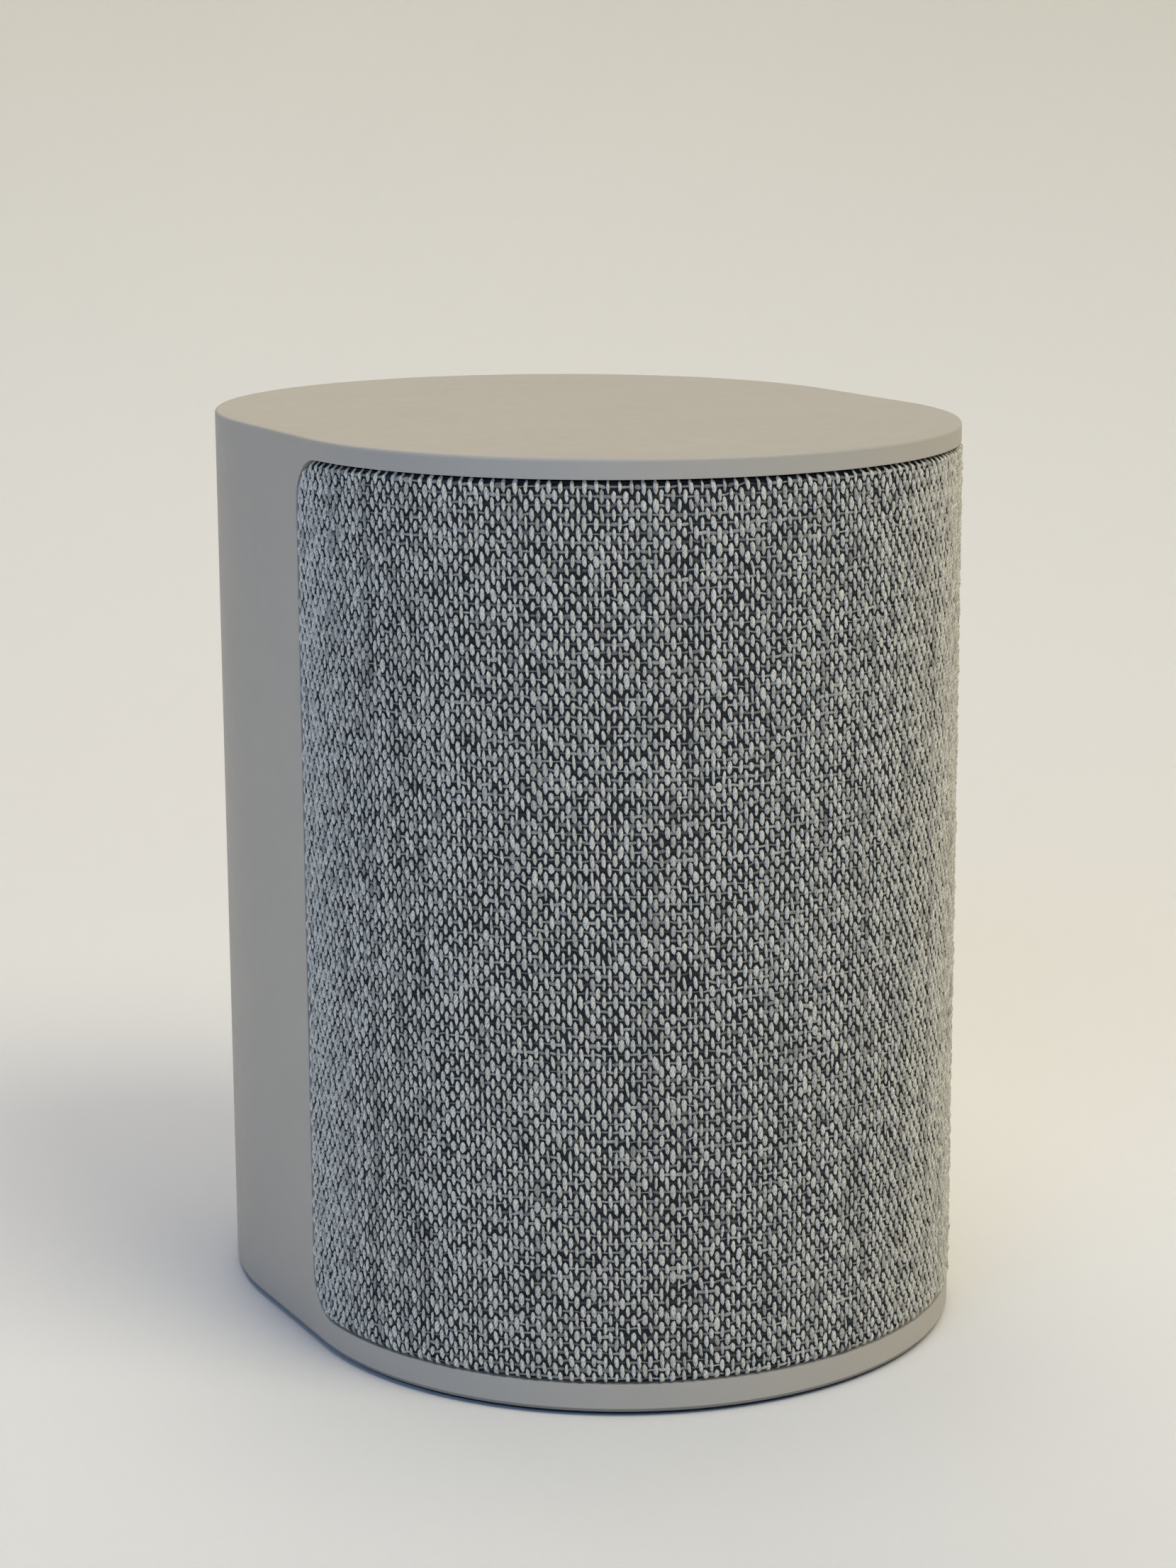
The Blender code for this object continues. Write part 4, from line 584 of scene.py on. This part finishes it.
def make_foot_lip_and_gap_shade():
    """The foot's soft lip: a ribbed ring inside and under the housing's lower edge, thinner at the screws;
    partly a rubber foot, partly painted shade, its black reaching under the wall to darken the gap below the
    housing.
    """
    whole = 2 * math.pi * RADIUS + 4 * ARC_Y
    low = LIP_GAP
    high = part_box("base_plate")[0].z - LIP_GAP
    under = BOTTOM - LIP_GAP * 0.4
    # Each point: its inset, whether the lip's width is added to that, and its level.
    profile = [
        (LIP_INSET, 1, high),
        (LIP_INSET, 0, high),
        (LIP_INSET, 0, under),
        # Painted shade: the black lip reaches out under the wall so the gap below the housing's edge shows
        # dark.
        (LIP_EDGE, 0, under),
        (LIP_EDGE, 0, low + LIP_ROUND * 0.4),
        (LIP_EDGE + LIP_ROUND * 0.25, 0, low + LIP_ROUND * 0.1),
        (LIP_EDGE + LIP_ROUND, 0, low),
        (LIP_INSET, 1, low),
    ]
    screws = [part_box(f"base_screw_{number}") for number in range(1, 5)]
    outline = []
    for step in range(LIP_STEPS):
        x, y, out_x, out_y = plan_point(whole * (step / LIP_STEPS - 0.5))
        room = min(math.hypot(x - (a.x + b.x) / 2, y - (a.y + b.y) / 2) - (b.x - a.x) / 2 for a, b in screws)
        width = min(LIP_WIDTH, max(room - LIP_INSET - LIP_GAP, LIP_THINNEST))
        rib = LIP_RIB * math.cos(math.pi * step / 2)
        outline.append((x, y, out_x, out_y, width, rib))
    verts = []
    for start, share, level in profile:
        for x, y, out_x, out_y, width, rib in outline:
            inset = start + share * width + (rib if start == LIP_EDGE else 0)
            verts.append((x - out_x * inset, y - out_y * inset, level))
    faces = grid_faces(len(profile), LIP_STEPS, wrap=True) + closing_faces(len(profile), LIP_STEPS)
    make_piece("foot_lip", verts, faces, "rubber", "housing")


# ---------------------------------------------------------------- cloth
STRAIGHT = CLOTH_BACK + ARC_Y + CLOTH_SPREAD
SHEET_LOW = CLOTH_LOW.z - CLOTH_SPREAD
CLOTH_LENGTH = 2 * STRAIGHT + math.pi * RADIUS
CLOTH_HEIGHT = CLOTH_HIGH.z - SHEET_LOW
CLOTH_CORNER = WINDOW_CORNER - COVER_GAP


def on_cover(s, z, raised):
    """Points on the cover: s along its plan from its right end, z above its lower edge, raised outward."""
    s = np.asarray(s, float)
    angle = np.clip((s - STRAIGHT) / RADIUS, 0, math.pi)
    reach = BASE_RADIUS + raised
    x = reach * np.cos(angle)
    y = -ARC_Y - reach * np.sin(angle)
    y = y + np.where(s < STRAIGHT, STRAIGHT - s, 0)
    y = y + np.where(s > CLOTH_LENGTH - STRAIGHT, s - (CLOTH_LENGTH - STRAIGHT), 0)
    return np.stack([x, y, SHEET_LOW + np.asarray(z, float)], -1)


def from_edge(s, z):
    """Distance inward from the cover's rounded outline."""
    half_s = CLOTH_LENGTH / 2
    half_z = CLOTH_HEIGHT / 2
    a = np.abs(s - half_s) - (half_s - CLOTH_CORNER)
    b = np.abs(z - half_z) - (half_z - CLOTH_CORNER)
    outside = np.hypot(np.maximum(a, 0), np.maximum(b, 0))
    return CLOTH_CORNER - outside - np.minimum(np.maximum(a, b), 0)


def roll_off(s, z):
    """How far the cloth turns inward near its edge."""
    share = np.clip(1 - from_edge(s, z) / CLOTH_EDGE, 0, 1)
    return -CLOTH_DROP * (1 - np.sqrt(np.clip(1 - share**2, 0, 1)))


def make_ground():
    """The dark ground of the weave: the sheet that the frame stretches, with its edge turned in; its
    near-black paints the shade in the gaps between the yarns.
    """
    columns = int(CLOTH_LENGTH / WARP_PITCH)
    rows = int(CLOTH_HEIGHT / WEFT_PITCH)
    s, z = np.meshgrid(np.linspace(0, CLOTH_LENGTH, columns), np.linspace(0, CLOTH_HEIGHT, rows))
    s, z = s.ravel(), z.ravel()
    centre_s = np.clip(s, CLOTH_CORNER, CLOTH_LENGTH - CLOTH_CORNER)
    centre_z = np.clip(z, CLOTH_CORNER, CLOTH_HEIGHT - CLOTH_CORNER)
    reach = np.hypot(s - centre_s, z - centre_z)
    pull = np.where(reach > CLOTH_CORNER, CLOTH_CORNER / np.maximum(reach, 1e-9), 1)
    s = centre_s + (s - centre_s) * pull
    z = centre_z + (z - centre_z) * pull
    points = on_cover(s, z, roll_off(s, z) - GROUND_SINK)
    piece = make_piece("cover_cloth_ground", points.tolist(), grid_faces(rows, columns), "cloth",
                       "front_cover", smooth=0)
    bm = bmesh.new()
    bm.from_mesh(piece.data)
    bmesh.ops.dissolve_degenerate(bm, edges=bm.edges, dist=1e-6)
    border = [edge for edge in bm.edges if len(edge.link_faces) == 1]
    grown = bmesh.ops.extrude_edge_only(bm, edges=border)["geom"]
    for vert in [item for item in grown if isinstance(item, bmesh.types.BMVert)]:
        radial = Vector((vert.co.x, min(vert.co.y + ARC_Y, 0), 0)).normalized()
        vert.co -= radial * CLOTH_DROP
    bmesh.ops.recalc_face_normals(bm, faces=bm.faces)
    bm.to_mesh(piece.data)
    bm.free()
    return piece


def add_floats(name, s, z, length, width, height, tilt, sink, tone, look, long_way, rows, columns):
    """Many yarn floats as one mesh: arched lozenges laid on the cover, long along z or along s."""
    u = np.linspace(-1, 1, rows)[:, None]
    v = np.linspace(-1, 1, columns)[None, :]
    outline = (1 - np.abs(u) ** 2.6) ** 0.62
    along = np.broadcast_to(u, (rows, columns))
    across = v * (0.10 + 0.90 * outline)
    crown = np.cos(v * math.pi / 2) ** 0.75 * (1 - 0.62 * u**2)
    count = len(s)
    cos_t = np.cos(tilt)[:, None, None]
    sin_t = np.sin(tilt)[:, None, None]
    du = along[None] * (length / 2)[:, None, None]
    dv = across[None] * (width / 2)[:, None, None]
    if long_way == "z":
        ds = dv * cos_t - du * sin_t
        dz = du * cos_t + dv * sin_t
    else:
        ds = du * cos_t - dv * sin_t
        dz = dv * cos_t + du * sin_t
    all_s = s[:, None, None] + ds + RNG.normal(0, FLOAT_JITTER, ds.shape)
    all_z = z[:, None, None] + dz + RNG.normal(0, FLOAT_JITTER, dz.shape)
    lumps = 1 + RNG.normal(0, FLOAT_LUMPS, ds.shape)
    raised = sink[:, None, None] + height[:, None, None] * crown[None] * lumps
    edge = roll_off(all_s, all_z)
    points = on_cover(all_s, all_z, raised + edge).reshape(-1, 3)
    cell = np.array(grid_faces(rows, columns))
    if long_way == "z":
        cell = cell[:, ::-1]
    faces = (np.arange(count)[:, None, None] * rows * columns + cell[None]).reshape(-1, 4)
    mesh = bpy.data.meshes.new(name)
    mesh.from_pydata(points.tolist(), [], faces.tolist())
    mesh.shade_smooth()
    level = np.broadcast_to(tone[:, None, None], (count, rows, columns))
    ones = np.ones_like(level)
    colour = np.stack([level, np.broadcast_to((across[None] + 1) / 2, level.shape),
                       np.broadcast_to((along[None] + 1) / 2, level.shape), ones], -1)
    attribute = mesh.color_attributes.new("tone", "FLOAT_COLOR", "POINT")
    attribute.data.foreach_set("color", colour.astype(np.float32).ravel())
    piece = placed(name, mesh)
    mesh.materials.append(look.material)
    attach(piece, "front_cover")
    return piece


def smooth_noise(count, reach):
    """Values that wander slowly along a run of yarns."""
    raw = RNG.normal(0, 1, count + 2 * reach)
    kernel = np.hanning(2 * reach + 1)
    kernel /= np.sqrt((kernel**2).sum())
    return np.convolve(raw, kernel, mode="valid")[:count]


def make_weave():
    """The cover's plain weave: bright warp floats, and darker weft floats sunk between them."""
    warps = int(round(CLOTH_LENGTH / WARP_PITCH))
    wefts = int(round(CLOTH_HEIGHT / WEFT_PITCH))
    pitch_s = CLOTH_LENGTH / warps
    pitch_z = CLOTH_HEIGHT / wefts
    i, j = np.meshgrid(np.arange(warps), np.arange(wefts), indexing="ij")
    warp_tone = 0.07 * RNG.normal(0, 1, warps) + 0.06 * smooth_noise(warps, 3)
    warp_width = 1 + 0.07 * RNG.normal(0, 1, warps)
    weft_tone = 0.05 * RNG.normal(0, 1, wefts)
    wander_s = 0.035 * np.stack([smooth_noise(wefts, 4) for _ in range(warps)])
    wander_z = 0.045 * np.stack([smooth_noise(warps, 4) for _ in range(wefts)], 1)
    patch = np.stack([smooth_noise(wefts, 9) for _ in range(warps)]) * 0.06
    s_all = (i + 0.5 + wander_s) * pitch_s
    z_all = (j + 0.5 + wander_z) * pitch_z
    pieces = []
    over = (i + j) % 2 == 0

    def values(mask, mean, spread, low, high):
        return np.clip(RNG.normal(mean, spread, mask.sum()), low, high)

    inside = from_edge(s_all, z_all) > 0.00015
    mask = over & inside
    s, z = s_all[mask], z_all[mask]
    tone = np.clip(0.97 + warp_tone[i[mask]] + patch[mask] + values(mask, 0, 0.12, -0.5, 0.3), 0.05, 1.3)
    length = values(mask, 1.46, 0.15, 0.95, 1.9) * pitch_z
    width = values(mask, 0.84, 0.12, 0.50, 1.1) * warp_width[i[mask]] * pitch_s
    height = values(mask, 0.00038, 0.00007, 0.0002, 0.0006)
    tilt = values(mask, -0.055, 0.06, -0.30, 0.20)
    sink = values(mask, 0.00004, 0.00004, -0.0001, 0.0002)
    order = np.argsort(s, kind="stable")
    for part, chosen in enumerate(np.array_split(order, WARP_PARTS), start=1):
        shape = [row[chosen] for row in (s, z, length, width, height, tilt, sink, tone)]
        pieces.append(add_floats(f"warp_floats_{part}", *shape, WARP_LOOK, "z", 7, 5))

    mask = ~over & inside
    s, z = s_all[mask], z_all[mask]
    tone = np.clip(0.40 + weft_tone[j[mask]] + values(mask, 0, 0.24, -0.4, 0.6), 0.02, 1)
    length = values(mask, 1.60, 0.25, 0.9, 2.2) * pitch_s
    width = values(mask, 0.36, 0.11, 0.12, 0.7) * pitch_z
    height = values(mask, 0.00022, 0.00007, 0.0001, 0.0004)
    tilt = values(mask, 0.0, 0.16, -0.5, 0.5)
    sink = values(mask, -0.00008, 0.00005, -0.0002, 0.0001)
    order = np.argsort(s, kind="stable")
    for part, chosen in enumerate(np.array_split(order, WEFT_PARTS), start=1):
        shape = [row[chosen] for row in (s, z, length, width, height, tilt, sink, tone)]
        pieces.append(add_floats(f"weft_floats_{part}", *shape, WEFT_LOOK, "s", 6, 4))
    return pieces


def make_fuzz():
    """Loose fibres that stand a little off the cloth, each a thin three-sided tube."""
    verts = []
    faces = []
    for _ in range(FIBRE_COUNT):
        s = RNG.uniform(FIBRE_MARGIN, CLOTH_LENGTH - FIBRE_MARGIN)
        z = RNG.uniform(FIBRE_MARGIN, CLOTH_HEIGHT - FIBRE_MARGIN)
        heading = RNG.uniform(0, 2 * math.pi)
        curl = RNG.normal(0, 1.1)
        length = RNG.uniform(0.0008, 0.0026)
        rise = RNG.uniform(0.0001, 0.0009) if RNG.random() < 0.35 else RNG.uniform(0.00005, 0.0002)
        radius = RNG.uniform(0.000008, 0.000014)
        path = []
        for step in range(FIBRE_STEPS + 1):
            t = step / FIBRE_STEPS
            angle = heading + curl * t
            s += length / FIBRE_STEPS * math.cos(angle)
            z += length / FIBRE_STEPS * math.sin(angle)
            path.append((s, z, 0.00035 + rise * math.sin(math.pi * t * 0.8)))
        first = len(verts)
        for s_here, z_here, raised in path:
            for corner in range(3):
                angle = 2 * math.pi * corner / 3
                side = radius * math.cos(angle)
                point = on_cover(s_here + side, z_here + side, raised + radius * math.sin(angle))
                verts.append(tuple(float(value) for value in point))
        for step in range(FIBRE_STEPS):
            for corner in range(3):
                after = (corner + 1) % 3
                faces.append((first + step * 3 + corner, first + step * 3 + after,
                              first + step * 3 + 3 + after, first + step * 3 + 3 + corner))
    piece = make_piece("cover_fuzz", verts, faces, "cloth", "front_cover", smooth=0)
    look = fibrous("loose_fibre", (0.42, 0.42, 0.41), 0.9, 4000, 0.00001)
    piece.data.materials.clear()
    piece.data.materials.append(look.material)
    return piece


# ---------------------------------------------------------------- drivers
def middle_of(node):
    low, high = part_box(node)
    return (low.x + high.x) / 2, 0.0, (low.z + high.z) / 2


def make_woofer():
    """Curved cone with pressed rings, dust cap, rolled surround and corrugated spider."""
    centre = middle_of("woofer_basket")
    cone_low, cone_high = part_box("woofer_cone")
    base = -cone_low.y
    cone_radius = cone_high.x
    cone_depth = cone_high.y - cone_low.y
    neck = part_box("woofer_voice_coil")[1].x + 0.0003
    rings = []
    for step in range(CONE_STEPS + 1):
        share = step / CONE_STEPS
        radius = neck + (cone_radius - neck) * share
        sag = CONE_SAG * math.sin(math.pi * share)
        ridge = CONE_RIDGE * max(0.0, math.cos(share * math.pi * 8)) if 0.35 < share < 0.9 else 0.0
        rings.append((radius, base - cone_depth * (1 - share) + 0.0008 * (1 - share) - sag + ridge))
    back = [(radius, level - CONE_SKIN) for radius, level in rings[::-1]]
    lathe("woofer_cone_fine", rings + back, centre, "paper_cone", "woofer_diaphragm", "woofer_cone",
          closed=True)

    cap_low, cap_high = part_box("woofer_dust_cap")
    cap_radius = cap_high.x
    cap_base = -cap_high.y
    cap = []
    for step in range(CAP_STEPS + 1):
        angle = math.pi / 2 * step / CAP_STEPS
        cap.append((cap_radius * math.sin(angle), cap_base + (cap_high.y - cap_low.y) * math.cos(angle)))
    cap += [(radius * 0.95, level - CAP_SKIN) for radius, level in cap[::-1][1:]]
    lathe("woofer_dust_cap_fine", cap, centre, "paper_cone", "woofer_diaphragm", "woofer_dust_cap")

    low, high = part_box("woofer_surround")
    outer = high.x
    inner = cone_radius - (outer - cone_radius) * 0.18
    rise = high.y - low.y
    land = (outer - inner) * 0.17
    flat = -high.y + SURROUND_SKIN
    front = [(outer, flat), (outer - land, flat)]
    middle = (outer + inner) / 2
    roll = (outer - inner) / 2 - land
    for step in range(1, SURROUND_STEPS):
        angle = math.pi * step / SURROUND_STEPS
        front.append((middle + roll * math.cos(angle), flat + (rise - SURROUND_SKIN) * math.sin(angle)))
    front += [(inner + land, flat), (inner, flat)]
    rear = [(radius, level - SURROUND_SKIN) for radius, level in front[::-1]]
    blended_ring("surround_part", front + rear, centre, "rubber", "woofer_surround")

    low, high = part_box("woofer_spider")
    outer = high.x
    inner = neck
    crest = (high.y - low.y) / 2 - SPIDER_SKIN / 2
    steps = SPIDER_WAVES * 6
    face = []
    for step in range(steps + 1):
        share = step / steps
        wave = crest * math.cos(math.pi * SPIDER_WAVES * share)
        face.append((outer + (inner - outer) * share, -(low.y + high.y) / 2 + wave + SPIDER_SKIN / 2))
    rear = [(radius, level - SPIDER_SKIN) for radius, level in face[::-1]]
    blended_ring("spider_part", face + rear, centre, "spider_cloth", "woofer_spider")


# ---------------------------------------------------------------- stage, light and camera
CAMERA_PLACE = (-0.2618, -0.5099, 0.2102)
CAMERA_TURN = 0.476
CAMERA_DIP = 0.211
CAMERA_ROLL = -0.005
CAMERA_LENS = 78.31
FLOOR_BEHIND = 0.45
FLOOR_RADIUS = 2.0
SWEEP_RADIUS = 0.60
SWEEP_HEIGHT = 2.6
SWEEP_STEPS = 24
STAGE_STEPS = 128
FLOOR_COLOUR = (0.895, 0.900, 0.925)
# Darker, warmer colour at the top of the sweep: painted shade.
WALL_SHADE_COLOUR = (0.668, 0.642, 0.560)


def make_stage():
    """A pale floor that curves up into a backdrop all round the speaker, nearest behind it, painted darker
    and warmer up the sweep as shade.
    """
    profile = [(0.0, 0.0), (FLOOR_RADIUS * 0.5, 0.0), (FLOOR_RADIUS, 0.0)]
    for step in range(1, SWEEP_STEPS + 1):
        angle = math.pi / 2 * step / SWEEP_STEPS
        profile.append((FLOOR_RADIUS + SWEEP_RADIUS * math.sin(angle), SWEEP_RADIUS * (1 - math.cos(angle))))
    profile.append((FLOOR_RADIUS + SWEEP_RADIUS, SWEEP_HEIGHT))
    away = Vector((math.sin(CAMERA_TURN), math.cos(CAMERA_TURN), 0))
    centre = away * (FLOOR_BEHIND - FLOOR_RADIUS)
    verts = []
    for reach, level in profile:
        for step in range(STAGE_STEPS):
            angle = 2 * math.pi * step / STAGE_STEPS
            verts.append(centre + Vector((reach * math.cos(angle), reach * math.sin(angle), level)))
    mesh = bpy.data.meshes.new("backdrop")
    mesh.from_pydata(verts, [], grid_faces(len(profile), STAGE_STEPS, wrap=True))
    mesh.shade_smooth()
    floor = placed("backdrop", mesh)
    look = Look("backdrop_paint", FLOOR_COLOUR, 0.60)
    separate = look.nodes.new("ShaderNodeSeparateXYZ")
    look.links.new(look.place, separate.inputs[0])
    # Painted shade: the backdrop darkens and warms as it rises, for the light falling off up the wall.
    height = look.ramp(separate.outputs["Z"], 0.0, 0.35, 0, 1)
    tone = look.mix(height, FLOOR_COLOUR, WALL_SHADE_COLOUR)
    cloud = look.noise(2.2, 3)
    look.paint(look.mix(look.ramp(cloud, 0.3, 0.7, 0, 0.10), tone, tinted(FLOOR_COLOUR, 0.85)))
    look.matt(look.ramp(look.noise(9, 3), 0.3, 0.7, 0.55, 0.68))
    look.bump(look.noise(1400, 4, 0.7), 0.00006)
    mesh.materials.append(look.material)


def area_light(name, place, target, size, power, colour):
    light = bpy.data.lights.new(name, "AREA")
    light.shape = "DISK"
    light.size = size
    light.energy = power
    light.color = colour
    lamp = placed(name, light)
    lamp.location = place
    aim = Vector(target) - Vector(place)
    lamp.rotation_euler = aim.to_track_quat("-Z", "Y").to_euler()


def make_lights():
    bpy.context.scene.view_settings.view_transform = "Standard"
    world = bpy.data.worlds.new("studio")
    world.use_nodes = True
    background = world.node_tree.nodes["Background"]
    background.inputs["Color"].default_value = (0.86, 0.93, 1.0, 1)
    background.inputs["Strength"].default_value = 0.015
    bpy.context.scene.world = world
    area_light("ceiling_light", (0.0, -0.1, 2.0), (0, 0, 0.05), 1.5, 11.9, (1.0, 0.92, 0.84))
    area_light("front_light", (0.5, -1.2, 1.8), (0, 0, 0.05), 1.2, 20.3, (1.0, 0.93, 0.70))
    area_light("left_fill", (-1.1, -0.9, 0.7), (0, 0, 0.08), 1.0, 6.0, (0.14, 0.45, 1.0))
    area_light("front_wall_wash", (-0.6, -1.5, 1.5), (-1.6, -3.6, 0.9), 1.0, 6.0, (1.0, 0.97, 0.92))
    area_light("back_fill", (0.1, 0.75, 0.9), (0, 0, 0.08), 0.7, 1.2, (1.0, 0.95, 0.86))


def make_camera():
    camera = bpy.data.cameras.new("camera")
    camera.lens = CAMERA_LENS
    camera.sensor_width = 36.0
    camera.clip_start = 0.01
    eye = placed("camera", camera)
    level = math.cos(CAMERA_DIP)
    forward = Vector((math.sin(CAMERA_TURN) * level, math.cos(CAMERA_TURN) * level, -math.sin(CAMERA_DIP)))
    right = Vector((math.cos(CAMERA_TURN), -math.sin(CAMERA_TURN), 0))
    up = right.cross(forward)
    basis = Matrix((right, up, -forward)).transposed().to_4x4()
    roll = Matrix.Rotation(CAMERA_ROLL, 4, "Z")
    eye.matrix_world = Matrix.Translation(CAMERA_PLACE) @ basis @ roll
    bpy.context.scene.camera = eye


make_camera()
make_stage()
make_lights()
dress_nodes()
make_housing()
make_foot_lip_and_gap_shade()
ground = make_ground()
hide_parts("front_cover_cloth")
yarns = make_weave()
yarns.append(make_fuzz())
make_woofer()
